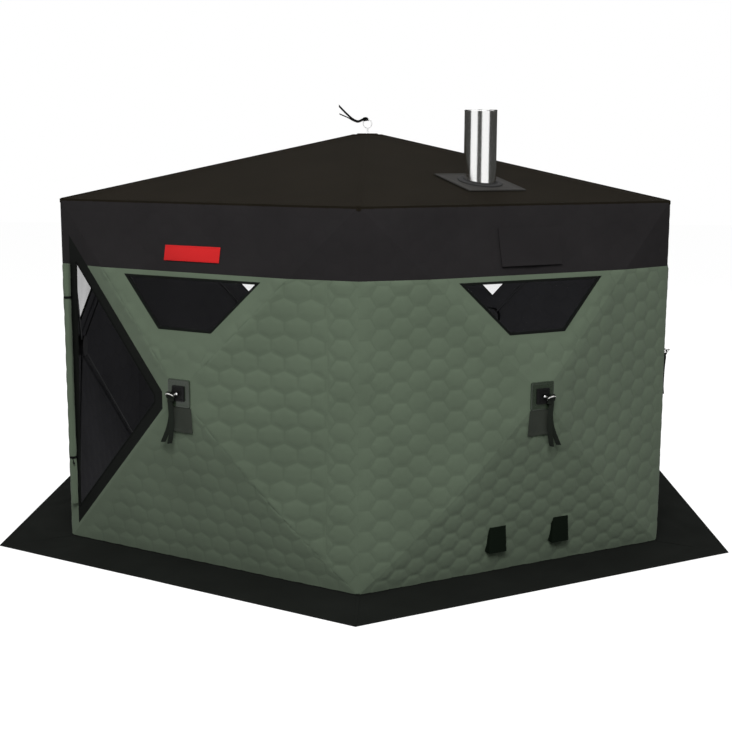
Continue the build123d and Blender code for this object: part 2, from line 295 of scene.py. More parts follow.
@dataclass(frozen=True)
class ClearSheet(Surface):
    """The flexible clear film of the windows."""

    pass_through: tuple[float, float] = (0.95, 0.35)
    gloss: tuple[float, float] = (0.002, 0.25)
    roughness: float = 0.12

    def _make(self) -> bpy.types.Material:
        """Build the film: see-through with a soft gloss, both by the angle of view.

        Returns:
            The material.
        """
        made, net, shader = new_material(self.name)
        net.nodes.remove(shader)
        facing = net.add("LayerWeight", {"Blend": 0.35}).outputs["Facing"]
        clear = net.add("BsdfTransparent", {"Color": net.remap(facing, (0.45, 1.0), self.pass_through)})
        shine = net.add("BsdfGlossy", {"Roughness": self.roughness})
        mix = net.add("MixShader", {"Fac": net.remap(facing, (0.30, 1.0), self.gloss),
                                    1: clear.outputs["BSDF"], 2: shine.outputs["BSDF"]})
        net.fill(net.nodes["Material Output"], {"Surface": mix.outputs["Shader"]})
        return made


# seam_shade: painted shade in the quilts' seam valleys, together with the thread's darker tone.
GREEN = Finish("green_quilted_oxford", "green_quilt", (0.092, 0.120, 0.083), 0.85, Weave.OXFORD,
               sheen=0.05, specular=0.15, variation=0.07, seam_shade=0.10)
BLACK = Finish("black_quilted_oxford", "black_quilt", (0.0162, 0.0150, 0.0156), 0.85, Weave.OXFORD,
               specular=0.10, seam_shade=0.05)
ROOF = Finish("roof_oxford", "roof_cloth", (0.0106, 0.0088, 0.0061), 0.85, Weave.OXFORD, specular=0.05)
SKIRT = Finish("skirt_oxford", "skirt_cloth", (0.0098, 0.0108, 0.0096), 0.82, Weave.OXFORD, specular=0.06)
LINING = Finish("black_lining", "black_quilt", (0.022, 0.022, 0.024), 0.9, Weave.OXFORD,
                specular=0.08, seam_shade=0.15)
TAPE = Finish("black_woven_tape", "black_tape", (0.0058, 0.0066, 0.0058), 0.85, Weave.WEBBING, specular=0.08)
HOOD = Finish("hood_oxford", "black_tape", (0.0042, 0.0066, 0.0042), 0.85, Weave.OXFORD, specular=0.05)
WEBBING = Finish("black_webbing", "black_tape", (0.0048, 0.0050, 0.0048), 0.75, Weave.WEBBING,
                 specular=0.06, bump=0.5)
STRAP = Finish("washed_black_webbing", "black_tape", (0.0125, 0.0150, 0.0120), 0.75, Weave.WEBBING,
               specular=0.06, bump=0.5)
FLAP = Finish("dark_grey_oxford", "grey_cloth", (0.026, 0.030, 0.024), 0.75, Weave.OXFORD, specular=0.2)
RED = Finish("red_oxford", "red_cloth", (0.50, 0.017, 0.018), 0.75, Weave.OXFORD, specular=0.2,
             variation=0.06)
PLATE = Finish("moulded_hub_plate", "hub_plastic", (0.016, 0.024, 0.014), 0.28, Weave.MOULDED,
               coat=0.2, specular=0.35, grain=1600.0, bump=0.12)
BOSS = Finish("black_moulded_nylon", "black_plastic", (0.0045, 0.0045, 0.0045), 0.5, Weave.MOULDED,
              specular=0.12, grain=1600.0, bump=0.12)
STEEL = Finish("bright_steel", "steel", (0.78, 0.77, 0.75), 0.22, Weave.MOULDED, metallic=1.0,
               variation=0.04, grain=700.0, bump=0.04)
WASHER = Finish("blackened_steel", "steel", (0.018, 0.019, 0.018), 0.5, Weave.MOULDED, metallic=1.0,
                variation=0.04, grain=700.0, bump=0.04)
SATIN = Finish("satin_light_steel", "steel", (0.84, 0.84, 0.84), 0.5, Weave.MOULDED, variation=0.03,
               grain=700.0, bump=0.04)
PIPE_STEEL = Finish("polished_pipe_steel", "steel", (0.93, 0.93, 0.92), 0.17, Weave.BRUSHED,
                    metallic=1.0, variation=0.02, grain=1400.0, bump=0.0)
ROD = Finish("black_fibreglass", "pole_fibre", (0.016, 0.016, 0.017), 0.6, Weave.BRUSHED,
             specular=0.2, grain=1600.0, bump=0.05)
RUBBER = Finish("black_silicone_rubber", "boot_rubber", (0.026, 0.026, 0.026), 0.7,
                Weave.MOULDED, specular=0.2, grain=500.0, bump=0.1)
FLASHING = Finish("heatproof_sheet", "flashing_sheet", (0.030, 0.029, 0.027), 0.7, Weave.OXFORD,
                  specular=0.2, grain=700.0)
CLEAR = ClearSheet("clear_window_film", "clear_sheet")


# ---- pieces
def dress(piece: Object, finish: Surface) -> None:
    """Give a piece one finish."""
    piece.data.materials.clear()
    piece.data.materials.append(finish.material())


def new_object(name: str, data: bpy.types.ID) -> Object:
    """Put a new object into the scene.

    Args:
        name: Its name.
        data: Its mesh, lamp or camera.

    Returns:
        The object.
    """
    made = bpy.data.objects.new(name, data)
    bpy.context.collection.objects.link(made)
    return made


def add_piece(name: str, bm: Mesh, finish: Surface, smooth: bool = True,
              replaces: Sequence[str] = ()) -> Object:
    """Turn a built mesh into a dressed piece that rides on the hut.

    Args:
        name: The piece's name.
        bm: Its mesh, which is freed.
        finish: Its finish.
        smooth: True for soft shading over shallow angles.
        replaces: The nodes of the frame that it stands for.

    Returns:
        The new piece.
    """
    mesh = bpy.data.meshes.new(name)
    bmesh.ops.recalc_face_normals(bm, faces=bm.faces)
    if smooth:
        for face in bm.faces:
            face.smooth = True
        for edge in bm.edges:
            shallow = len(edge.link_faces) != 2 or edge.calc_face_angle(0.0) < math.radians(42)
            edge.smooth = edge.smooth and shallow
    bm.to_mesh(mesh)
    bm.free()
    piece = new_object(name, mesh)
    dress(piece, finish)
    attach(piece, BODY)
    if replaces:
        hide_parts(*replaces)
    LOG.info("%s: %d faces", name, len(mesh.polygons))
    return piece


def merge(parts: Sequence[Mesh], weld: float = 0.0) -> Mesh:
    """Put several meshes into one.

    Args:
        parts: The meshes, which are freed.
        weld: How near to each other points have to be to become one.

    Returns:
        One mesh with all of them.
    """
    whole = bmesh.new()
    for part in parts:
        temporary = bpy.data.meshes.new("part")
        part.to_mesh(temporary)
        part.free()
        whole.from_mesh(temporary)
        bpy.data.meshes.remove(temporary)
    if weld:
        bmesh.ops.remove_doubles(whole, verts=whole.verts, dist=weld)
    return whole


def transformed(bm: Mesh, matrix: Matrix) -> Mesh:
    """Move a mesh."""
    bmesh.ops.transform(bm, matrix=matrix, verts=bm.verts)
    return bm


def pairs(items: Sequence[Item]) -> list[tuple[Item, Item]]:
    """Each item with the next one round."""
    return list(zip(items, [*items[1:], *items[:1]]))


def bridge(bm: Mesh, rings: Sequence[Sequence[Vert]], closed: bool = False) -> None:
    """Join rings of points with faces, each ring to the next.

    Args:
        bm: The mesh that holds the points.
        rings: The rings, with as many points each.
        closed: True where the last ring joins the first.
    """
    for here, there in zip(rings, [*rings[1:], rings[0]] if closed else rings[1:]):
        for (a, b), (c, d) in zip(pairs(here), pairs(there)):
            bm.faces.new((a, b, d, c))


def through(rings: Sequence[Sequence[Sequence[float]]], closed: bool = False) -> Mesh:
    """A closed skin through rings of places, each ring joined to the next.

    Args:
        rings: The rings, with as many places each.
        closed: True where the last ring joins the first, where else both get an end face.

    Returns:
        The mesh.
    """
    bm = bmesh.new()
    rows = [[bm.verts.new(spot) for spot in ring] for ring in rings]
    bridge(bm, rows, closed)
    if not closed:
        bm.faces.new(rows[0][::-1])
        bm.faces.new(rows[-1])
    return bm


def block(size: Sequence[float], place: Matrix, bevel: float = 0.0) -> Mesh:
    """A block, with rounded edges where it has a bevel.

    Args:
        size: Its three sides.
        place: Where its middle goes.
        bevel: Radius of its edges.

    Returns:
        The mesh.
    """
    bm = bmesh.new()
    bmesh.ops.create_cube(bm, size=1.0)
    bmesh.ops.scale(bm, vec=size, verts=bm.verts)
    if bevel:
        bmesh.ops.bevel(bm, geom=bm.edges, offset=bevel, segments=3, affect="EDGES", profile=0.5)
    return transformed(bm, place)


def rounded_block(wide: float, tall: float, rows: Sequence[Spot]) -> Mesh:
    """A flat block with round corners, stepped in from its edge.

    Args:
        wide: Its width at the outermost row.
        tall: Its height there.
        rows: For each row its inset, its level and its corners' radius.

    Returns:
        The mesh.
    """
    rings = []
    for inset, level, radius in rows:
        ring = []
        for cx, cy, first in ((1, 1, 0), (-1, 1, 1), (-1, -1, 2), (1, -1, 3)):
            for k in range(5):
                angle = (first + k / 4) * math.pi / 2
                x = cx * (wide / 2 - inset - radius) + radius * math.cos(angle)
                y = cy * (tall / 2 - inset - radius) + radius * math.sin(angle)
                ring.append((x, y, level))
        rings.append(ring)
    return through(rings)


def rim_of(grid: Sequence[Sequence[Vert]]) -> list[Vert]:
    """The points round the edge of a grid, once round."""
    sides = [row[-1] for row in grid[:-1]], [row[0] for row in grid[:0:-1]]
    return [*grid[0][:-1], *sides[0], *grid[-1][:0:-1], *sides[1]]


def double_sheet(columns: int, rows: int, place: Callable[[int, float, float], Sequence[float]]) -> Mesh:
    """A thin closed sheet: two skins of points, faced and joined round their rim.

    Args:
        columns: How many faces lie across it.
        rows: How many faces lie up it.
        place: The point for a skin, 0 or 1, and the shares of the way across and up.

    Returns:
        The mesh.
    """
    bm = bmesh.new()
    skins = [[[bm.verts.new(place(skin, i / columns, j / rows)) for i in range(columns + 1)]
              for j in range(rows + 1)] for skin in (0, 1)]
    for grid in skins:
        for here, there in zip(grid, grid[1:]):
            for k in range(columns):
                bm.faces.new((here[k], here[k + 1], there[k + 1], there[k]))
    bridge(bm, [rim_of(grid) for grid in skins])
    return bm


def swept(path: Sequence[Vector], section: Sequence[Point], across: Vector | Sequence[Vector],
          closed: bool = False) -> Mesh:
    """Sweep a closed section along a path.

    Args:
        path: The middle line.
        section: Points across and along the thickness.
        across: The section's first direction, or one for each step of the path.
        closed: True where the path ends at its start.

    Returns:
        The mesh.
    """
    rings = []
    for step, centre in enumerate(path):
        after = path[(step + 1) % len(path)] if closed or step + 1 < len(path) else centre
        before = path[step - 1] if closed or step else centre
        side = (across if isinstance(across, Vector) else across[step]).normalized()
        up = (after - before).cross(side).normalized()
        rings.append([centre + side * a + up * b for a, b in section])
    return through(rings, closed)


def strap_section(width: float, thickness: float) -> list[Point]:
    """The section of a webbing strap, with rounded selvedges."""
    half, flat, deep = width / 2, (width - thickness) / 2, thickness / 2
    return [(-half, 0.0), (-flat, -deep), (flat, -deep), (half, 0.0), (flat, deep), (-flat, deep)]


def circle(radius: float, count: int, centre: Spot = (0.0, 0.0, 0.0), start: float = 0.0) -> list[Vector]:
    """Points evenly round a level circle, from a starting angle."""
    turns = [TURN * k / count + start for k in range(count)]
    return [Vector(centre) + radius * Vector((math.cos(turn), math.sin(turn), 0.0)) for turn in turns]


def round_section(radius: float, count: int = 12) -> list[Point]:
    """The section of a round wire or cord."""
    return [(point.x, point.y) for point in circle(radius, count)]


def torus(radius: float, wire: float, place: Matrix, steps: int = 48) -> Mesh:
    """A ring of round wire in the place's XY plane."""
    path = circle(radius, steps)
    return transformed(swept(path, round_section(wire), path, closed=True), place)


def lathe(profile: Sequence[Point], place: Matrix, steps: int = 96) -> Mesh:
    """Turn a closed outline about an axis.

    Args:
        profile: The outline, as radius and height.
        place: Where it goes, with the axis as Z.
        steps: How many steps the turn has.

    Returns:
        The mesh.
    """
    ways = [(math.cos(TURN * k / steps), math.sin(TURN * k / steps)) for k in range(steps)]
    bm = through([[(r * x, r * y, z) for r, z in profile] for x, y in ways], closed=True)
    bmesh.ops.remove_doubles(bm, verts=bm.verts, dist=1e-7)
    return transformed(bm, place)


# ---- lines and waves
def ripples(x: Values, y: Values, seed: int, length: float) -> Values:
    """Gentle unevenness from a few crossing waves.

    Args:
        x: First coordinates.
        y: Second coordinates.
        seed: Which set of waves.
        length: Their rough length.

    Returns:
        Heights of about -1 to 1.
    """
    draw = np.random.default_rng(seed)
    total = np.zeros_like(x)
    for _ in range(7):
        way = draw.uniform(0, TURN)
        rate = TURN / (length * draw.uniform(0.6, 1.6))
        total = total + np.sin((x * np.cos(way) + y * np.sin(way)) * rate + draw.uniform(0, 6.3))
    return total / 3.2


def smooth_step(value: Values, low: float, high: float) -> Values:
    """A soft ramp from 0 at low to 1 at high."""
    part = np.clip((value - low) / (high - low), 0.0, 1.0)
    return part * part * (3 - 2 * part)


def smooth_path(points: Sequence[Vector], steps: int) -> list[Vector]:
    """A smooth line through points.

    Args:
        points: Points that the line goes through.
        steps: How many steps between two of them.

    Returns:
        The line's points.
    """
    ends = [points[0] * 2 - points[1], *points, points[-1] * 2 - points[-2]]
    line = []
    for a, b, c, d in zip(ends, ends[1:], ends[2:], ends[3:]):
        for t in np.arange(steps) / steps:
            line.append(0.5 * (2 * b + (c - a) * t + (2 * a - 5 * b + 4 * c - d) * t * t
                               + (3 * b - a - 3 * c + d) * t ** 3))
    return [*line, points[-1]]


def straight(start: Vector, end: Vector, steps: int) -> list[Vector]:
    """The points of a straight line at even steps."""
    return [start.lerp(end, k / steps) for k in range(steps + 1)]


def hexagon_corner(radius: float, index: int, height: float = 0.0) -> Vector:
    """A corner of a hexagon round the hut's middle, counted from the front one."""
    angle = -math.pi / 2 + index * 2 * HALF_TURN
    return Vector((radius * math.cos(angle), radius * math.sin(angle), height))


def hexagon_edge(radius: float, index: int, height: float, steps: int) -> list[Vector]:
    """The points along one side of such a hexagon."""
    return straight(*(hexagon_corner(radius, index + step, height) for step in (0, 1)), steps)


def left_of(a: Point, b: Point, spot: Point) -> float:
    """Positive where a spot lies on the left of the line from a to b."""
    return (b[0] - a[0]) * (spot[1] - a[1]) - (b[1] - a[1]) * (spot[0] - a[0])


def clip(outline: Outline, keep: Callable[[Point], float]) -> list[Point]:
    """The part of an outline where a linear function is positive.

    Args:
        outline: Its corners.
        keep: The linear function.

    Returns:
        The corners of what is left.
    """
    left: list[Point] = []
    for a, b in pairs(outline):
        at_a, at_b = keep(a), keep(b)
        if at_a >= 0:
            left.append(a)
        if (at_a > 1e-9 and at_b < -1e-9) or (at_a < -1e-9 and at_b > 1e-9):
            share = at_a / (at_a - at_b)
            left.append((a[0] + share * (b[0] - a[0]), a[1] + share * (b[1] - a[1])))
    return left


def edge_distance(points: np.ndarray, outline: Outline, sloping: bool | None = None) -> np.ndarray:
    """How far each point is from the nearest edge of an outline.

    Args:
        points: Points in the outline's plane.
        outline: Its corners.
        sloping: Take only the sloping edges, or only the level and upright ones.

    Returns:
        One distance for each point.
    """
    nearest = np.full(len(points), 1e9)
    for a, b in pairs(outline):
        start, run = np.array(a), np.array(b) - np.array(a)
        if sloping is not None and sloping != bool(np.abs(run).min() > 1e-6):
            continue
        share = np.clip(((points - start) @ run) / (run @ run), 0.0, 1.0)
        gap = np.linalg.norm(points - start - share[:, None] * run, axis=1)
        nearest = np.minimum(nearest, gap)
    return nearest


def parts_of(faces: Sequence[bmesh.types.BMFace]) -> list[bmesh.types.BMElem]:
    """Faces with their edges and points, each once."""
    return list(dict.fromkeys(part for face in faces for part in (face, *face.edges, *face.verts)))


def cut_along(bm: Mesh, a: Sequence[float], b: Sequence[float], geom: Sequence[bmesh.types.BMElem],
              clear: bool = False) -> None:
    """Cut a flat mesh along the upright plane through two places.

    Args:
        bm: The mesh.
        a: The first place.
        b: The second place.
        geom: Which of its faces, edges and points are cut.
        clear: True where what is on the right of the line goes away.
    """
    normal = Vector((b[1] - a[1], a[0] - b[0], 0.0)).normalized()
    bmesh.ops.bisect_plane(bm, geom=geom, dist=1e-6, plane_co=(a[0], a[1], 0.0), plane_no=normal,
                           clear_outer=clear)


# ---- plan
@dataclass(frozen=True)
class Plan:
    """The hut's main sizes, and the shape of a wall, shared by every sub-assembly."""

    corner_radius: float
    band_foot: float
    crown: float
    hub: float
    crown_reach: float = 0.091
    band_depth: float = 0.328
    hub_reach: float = 0.165
    plate_width: float = 0.130
    plate_height: float = 0.134
    crease_bow: float = 0.026
    crease_reach: float = 0.22
    calm_edge: float = 0.10

    @classmethod
    def from_frame(cls) -> "Plan":
        """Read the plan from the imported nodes.

        Returns:
            The plan.
        """
        low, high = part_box("hub_plates")
        return cls(
            corner_radius=-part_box("front_right_wall")[0].y,
            band_foot=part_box("left_wall")[1].z,
            crown=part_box("front_left_roof")[1].z,
            hub=(low.z + high.z) / 2,
        )

    @property
    def eave(self) -> float:
        """Height of the roof's edge."""
        return self.band_foot + self.band_depth

    @property
    def half_side(self) -> float:
        """Half of a wall's length."""
        return self.corner_radius * math.sin(HALF_TURN)

    @property
    def apothem(self) -> float:
        """Centre of the plan to the middle of a wall's chord."""
        return self.corner_radius * math.cos(HALF_TURN)

    @property
    def pitch(self) -> float:
        """Rise of the roof for each metre inward."""
        return (self.crown - self.eave) / (self.apothem - self.crown_reach)

    @property
    def crown_share(self) -> float:
        """How far out the flat crown reaches, as a share of the roof."""
        return self.crown_reach / self.apothem

    @property
    def upper_rise(self) -> float:
        """Height of a wall's upper face, from the square at the hub to the eave."""
        return self.eave - self.hub - self.plate_height / 2

    def plate_corners(self) -> list[Point]:
        """The flat square at the hub, anticlockwise from its lower left corner."""
        half, tall = self.plate_width / 2, self.plate_height / 2
        return [(x * half, self.hub + y * tall) for x, y in SQUARE]

    def outward(self, u: Values, z: Values) -> Values:
        """How far the wall's outer face stands out from its chord.

        Args:
            u: Places along the wall.
            z: Heights.

        Returns:
            The distances outward.
        """
        side = (self.half_side - np.abs(u)) / (self.half_side - self.plate_width / 2)
        upper = (self.eave - z) / self.upper_rise
        lower = z / (self.hub - self.plate_height / 2)
        share = np.minimum(np.minimum(side, upper), np.minimum(lower, 1.0))
        return self.hub_reach * share

    def bow(self, u: np.ndarray, z: np.ndarray, hands: Sequence[int]) -> tuple[np.ndarray, np.ndarray]:
        """Bend the two lower creases a little, as the bowed rods behind them do.

        Args:
            u: Places along the wall.
            z: Heights.
            hands: The sides of the wall where the crease bends.

        Returns:
            The moved places and heights.
        """
        foot = self.plate_corners()[1]
        run = np.array([self.half_side - foot[0], -foot[1]])
        length = np.linalg.norm(run)
        run /= length
        edge = (smooth_step(z, 0.0, self.calm_edge)
                * smooth_step(self.half_side - np.abs(u), 0.0, self.calm_edge))
        moved_u, moved_z = u.copy(), z.copy()
        for hand in hands:
            du, dz = u * hand - foot[0], z - foot[1]
            along = np.clip((du * run[0] + dz * run[1]) / length, 0.0, 1.0)
            aside = -du * run[1] + dz * run[0]
            shift = -self.crease_bow * np.sin(np.pi * along) * np.exp(-((aside / self.crease_reach) ** 2))
            moved_u += hand * -run[1] * shift * edge
            moved_z += run[0] * shift * edge
        return moved_u, moved_z

    def facing(self, u: float, z: float, out: float = 0.0) -> Vector:
        """A point over the outer face of the wall facing -Y, pushed out from it."""
        return Vector((u, -(self.apothem + self.outward(u, z) + out), z))

    def on_wall(self, u: float, z: float, side: Side, out: float = 0.0) -> Vector:
        """A point over a wall's outer face, pushed out from it."""
        return side.turn @ self.facing(u, z, out)

    def hub_frame(self, side: Side, out: float = 0.0) -> Matrix:
        """A frame on the hub's flat: X along the wall, Y up and Z outward."""
        at = Matrix.Translation((0.0, -(self.apothem + self.hub_reach + out), self.hub))
        return side.turn @ at @ Matrix.Rotation(math.pi / 2, 4, "X")

    def face_frame(self, side: Side, height: float, upper: bool) -> Matrix:
        """A frame on the middle of the upper or lower face, with Y up along it.

        Args:
            side: The wall.
            height: Where on the wall.
            upper: True for the face over the hub.

        Returns:
            The frame.
        """
        rise = self.upper_rise if upper else self.hub - self.plate_height / 2
        lean = math.atan2(self.hub_reach, rise) * (1 if upper else -1)
        at = Matrix.Translation(self.on_wall(0.0, height, side))
        return at @ side.turn @ Matrix.Rotation(math.pi / 2 - lean, 4, "X")

    def roof_height(self, inward: float) -> float:
        """Height of the roof's outer face at a distance inward from the chord."""
        return min(self.crown, self.eave + self.pitch * inward)


# ---- quilting
@dataclass(frozen=True)
class Stitching:
    """Hexagon quilting of one panel of cloth."""

    spacing: float
    pitch: float
    turn: float = 0.0
    loft: float = 0.0058
    steps: int = 5
    anchor: Point = (0.0, 0.0)
    flatness: float = 2.4
    roundness: float = 0.8

    @property
    def stretch(self) -> np.ndarray:
        """Size of one cell in each direction."""
        return np.array([self.spacing / math.sqrt(3), self.pitch / 1.5])

    @property
    def axes(self) -> np.ndarray:
        """The cell's directions on the panel."""
        angle = math.radians(self.turn)
        return np.array([[math.cos(angle), -math.sin(angle)], [math.sin(angle), math.cos(angle)]])

    def to_cells(self, points: np.ndarray) -> np.ndarray:
        """Panel places as places among cells of unit radius."""
        return ((points - np.array(self.anchor)) @ self.axes) / self.stretch

    def grid(self, outline: Outline) -> tuple[np.ndarray, list[tuple[int, int, int]]]:
        """A triangle grid whose lines run along the cells' seams, covering an outline.

        Args:
            outline: The panel's corners.

        Returns:
            The grid's points on the panel, and its triangles.
        """
        corners = self.to_cells(np.array(outline))
        margin = 2.0 / self.steps
        low, high = corners.min(0) - margin, corners.max(0) + margin
        across = math.sqrt(3) / 2 / self.steps
        columns = np.arange(math.floor(low[0] / across), math.ceil(high[0] / across) + 1)
        rows = math.ceil((high[1] - low[1]) * self.steps) + 2
        start = np.floor(low[1] * self.steps - columns / 2).astype(int)
        points = np.array([
            (i * across, (i / 2 + s + j) / self.steps)
            for i, s in zip(columns, start) for j in range(rows)
        ])
        faces = []
        for column, lift in enumerate(np.diff(start)):
            for j in range(rows - 1):
                here, there = column * rows + j, (column + 1) * rows + j - lift
                if 0 <= j - lift < rows:
                    faces.append((here, there, here + 1))
                if 0 < j - lift < rows:
                    faces.append((here, there - 1, there))
        return (points * self.stretch) @ self.axes.T + np.array(self.anchor), faces

    def seam_share(self, points: np.ndarray) -> np.ndarray:
        """How near each point is to its cell's seam, 0 at the middle and 1 on it.

        Args:
            points: Places on the panel.

        Returns:
            One share for each place.
        """
        cells = self.to_cells(points)
        q = cells[:, 0] / math.sqrt(3) - cells[:, 1] / 3
        r = cells[:, 1] * 2 / 3
        exact = np.stack([q, r, -q - r])
        whole = np.round(exact)
        worst = np.abs(whole - exact).argmax(0)
        whole[0] = np.where(worst == 0, -whole[1] - whole[2], whole[0])
        whole[1] = np.where(worst == 1, -whole[0] - whole[2], whole[1])
        dx = cells[:, 0] - math.sqrt(3) * (whole[0] + whole[1] / 2)
        dy = cells[:, 1] - 1.5 * whole[1]
        reach = [np.abs(dx * math.cos(a) + dy * math.sin(a)) for a in (0.0, math.pi / 3, -math.pi / 3)]
        return np.clip(np.max(reach, axis=0) / (math.sqrt(3) / 2), 0.0, 1.0)

    def pillow(self, points: np.ndarray) -> np.ndarray:
        """Height of the filled cells over their seams."""
        share = self.seam_share(points)
        return self.loft * (1.0 - share ** self.flatness) ** self.roundness


PLAIN = Stitching(0.16, 0.12, loft=0.0, steps=4)


@dataclass(frozen=True)
class Layer:
    """One layer of a wall's cloth: its faces' depths, and 1 or -1 as it swells outward or inward."""

    seen: float
    hidden: float
    direction: float = 1.0


SHELL = Layer(seen=0.0, hidden=0.0070)
INSIDE = Layer(seen=0.0090, hidden=0.0072, direction=-1.0)


@dataclass
class Panel:
    """One flat panel of a wall: an outline, holes in it and its stitching.

    A panel with a frame, the outlines that hold the whole wall's quilting down, shares its cells with the
    panels beside it and is left open along its creases, where merge() welds them.
    """

    plan: Plan
    outline: Outline
    stitching: Stitching
    layer: Layer
    holes: Sequence[Outline] = ()
    bowed: Sequence[int] = (-1, 1)
    seed: int = 1
    frame: Sequence[Outline] = ()
    slack: float = 0.0014
    near_crease: float = 0.03

    def build(self) -> Mesh:
        """Make the panel in the coordinates of the wall facing -Y.

        Returns:
            The mesh, closed apart from the creases that merge() welds.
        """
        bm = self._cut_grid()
        bm.verts.layers.float.new("seam")
        back = self._add_back(bm, [edge for edge in bm.edges if edge.is_boundary])
        hidden = set(back.values())
        self._lift(bm, [vert for vert in bm.verts if vert not in hidden], back)
        return bm

    def _cut_grid(self) -> Mesh:
        """The stitching's grid, cut to the outline and the holes.

        Returns:
            The flat mesh.
        """
        points, faces = self.stitching.grid(self.outline)
        mesh = bpy.data.meshes.new("grid")
        mesh.from_pydata([(u, z, 0.0) for u, z in points.tolist()], [],
                         [list(map(int, face)) for face in faces])
        bm = bmesh.new()
        bm.from_mesh(mesh)
        bpy.data.meshes.remove(mesh)
        for hole in self.holes:
            self._cut_hole(bm, hole)
        for a, b in pairs(self.outline):
            cut_along(bm, a, b, [*bm.verts, *bm.edges, *bm.faces], clear=True)
        bmesh.ops.remove_doubles(bm, verts=bm.verts, dist=1e-5)
        bmesh.ops.dissolve_degenerate(bm, edges=bm.edges, dist=1e-5)
        loose = [vert for vert in bm.verts if not vert.link_faces]
        bmesh.ops.delete(bm, geom=loose, context="VERTS")
        return bm

    def _cut_hole(self, bm: Mesh, hole: Outline) -> None:
        """Cut one convex hole into the grid.

        Args:
            bm: The grid.
            hole: The hole's corners, anticlockwise.
        """
        for a, b in pairs(hole):
            low, high = np.minimum(a, b) - 1e-3, np.maximum(a, b) + 1e-3
            near = []
            for face in bm.faces:
                xs, ys = zip(*(vert.co[:2] for vert in face.verts))
                if max(xs) > low[0] and min(xs) < high[0] and max(ys) > low[1] and min(ys) < high[1]:
                    near.append(face)
            cut_along(bm, a, b, parts_of(near))
        inside = [face for face in bm.faces
                  if all(left_of(a, b, face.calc_center_median()) > 0 for a, b in pairs(hole))]
        bmesh.ops.delete(bm, geom=inside, context="FACES")

    def _add_back(self, bm: Mesh, rim: Sequence[bmesh.types.BMEdge]) -> dict[Vert, Vert]:
        """Give the panel a flat back and a rim, which is left open where the next panel joins on.

        Args:
            bm: The cut grid.
            rim: Its open edges.

        Returns:
            The back point that belongs to each point of the rim.
        """
        around = dict.fromkeys(vert for edge in rim for vert in edge.verts)
        back = {vert: bm.verts.new(vert.co) for vert in around}
        joints = dict.fromkeys(back, False)
        if self.frame:
            places = np.array([vert.co[:2] for vert in back])
            near = np.minimum(edge_distance(places, self.outline, sloping=True),
                              edge_distance(places, self.plan.plate_corners()))
            joints = dict(zip(back, near < 2e-5))
        far_edges = []
        for edge in rim:
            a, b = edge.verts
            if joints[a] and joints[b]:
                edge.smooth = False
                far_edges.append(bm.edges.new((back[a], back[b])))
                continue
            bm.faces.new((a, b, back[b], back[a]))
            far_edges.append(bm.edges.get((back[a], back[b])))
        bmesh.ops.triangle_fill(bm, edges=far_edges, use_beauty=True, use_dissolve=False)
        return back

    def _lift(self, bm: Mesh, front: Sequence[Vert], back: dict[Vert, Vert]) -> None:
        """Move every point from the flat panel to the wall, with its quilting.

        Args:
            bm: The closed panel.
            front: The points that show.
            back: The hidden points, by the rim's points.
        """
        seam = bm.verts.layers.float["seam"]
        places = np.array([vert.co[:2] for vert in front])
        crease = edge_distance(places, self.outline, sloping=True)
        calm = self._calm(places)
        slack = self.slack * ripples(places[:, 0], places[:, 1], self.seed, 0.45)
        height = np.maximum((self.stitching.pillow(places) * calm + slack) * self._ease(places, crease), 0.0)
        # The seam share, calmed where the cells swell less, is the mask for the finishes' painted shade along
        # the seams.
        share = self.stitching.seam_share(places) * calm
        if not self.stitching.loft:
            height, share = height * 0.0, share * 0.0
        level = 1.0 - smooth_step(crease, 0.0, self.near_crease)
        spots = self._spots(places, self.layer.seen, height, level)
        for vert, spot, value in zip(front, spots, share):
            vert.co = spot
            vert[seam] = value
        rim = np.array([vert.co[:2] for vert in back.values()])
        for vert, spot in zip(back.values(), self._spots(rim, self.layer.hidden, 0.0, 0.0)):
            vert.co = spot

    def _ease(self, places: np.ndarray, crease: np.ndarray) -> np.ndarray:
        """How far the cloth may rise near its edges, openings and creases, where it is sewn down.

        Args:
            places: Places along the wall and up it.
            crease: The places' distances from the creases.

        Returns:
            A share for each place.
        """
        held = [edge_distance(places, outline, sloping=False) for outline in self.frame or [self.outline]]
        border = np.min([*held, *(edge_distance(places, hole) for hole in self.holes)], axis=0)
        ends = np.minimum(self.plan.half_side - np.abs(places[:, 0]), places[:, 1])
        ease = smooth_step(border, -0.008, 0.018) * (1.0 - np.exp(-border / 0.004))
        ease *= smooth_step(ends, -0.02, 0.07)
        if self.frame:
            return ease * (0.6 + 0.4 * smooth_step(crease, 0.0, self.near_crease))
        return ease * smooth_step(crease, -0.003, 0.005)

    def _calm(self, places: np.ndarray) -> np.ndarray:
        """How far the cells may swell: less where the cloth is tight, at the hub and the openings.

        Args:
            places: Places along the wall and up it.

        Returns:
            A share of the full swelling for each place.
        """
        from_hub = np.hypot(places[:, 0], places[:, 1] - self.plan.hub)
        calm = 0.25 + 0.75 * smooth_step(from_hub, 0.10, 0.19)
        reach = 0.060 if self.frame else 0.110
        for hole in self.holes:
            calm *= 0.1 + 0.9 * smooth_step(edge_distance(places, hole), 0.015, reach)
        return calm

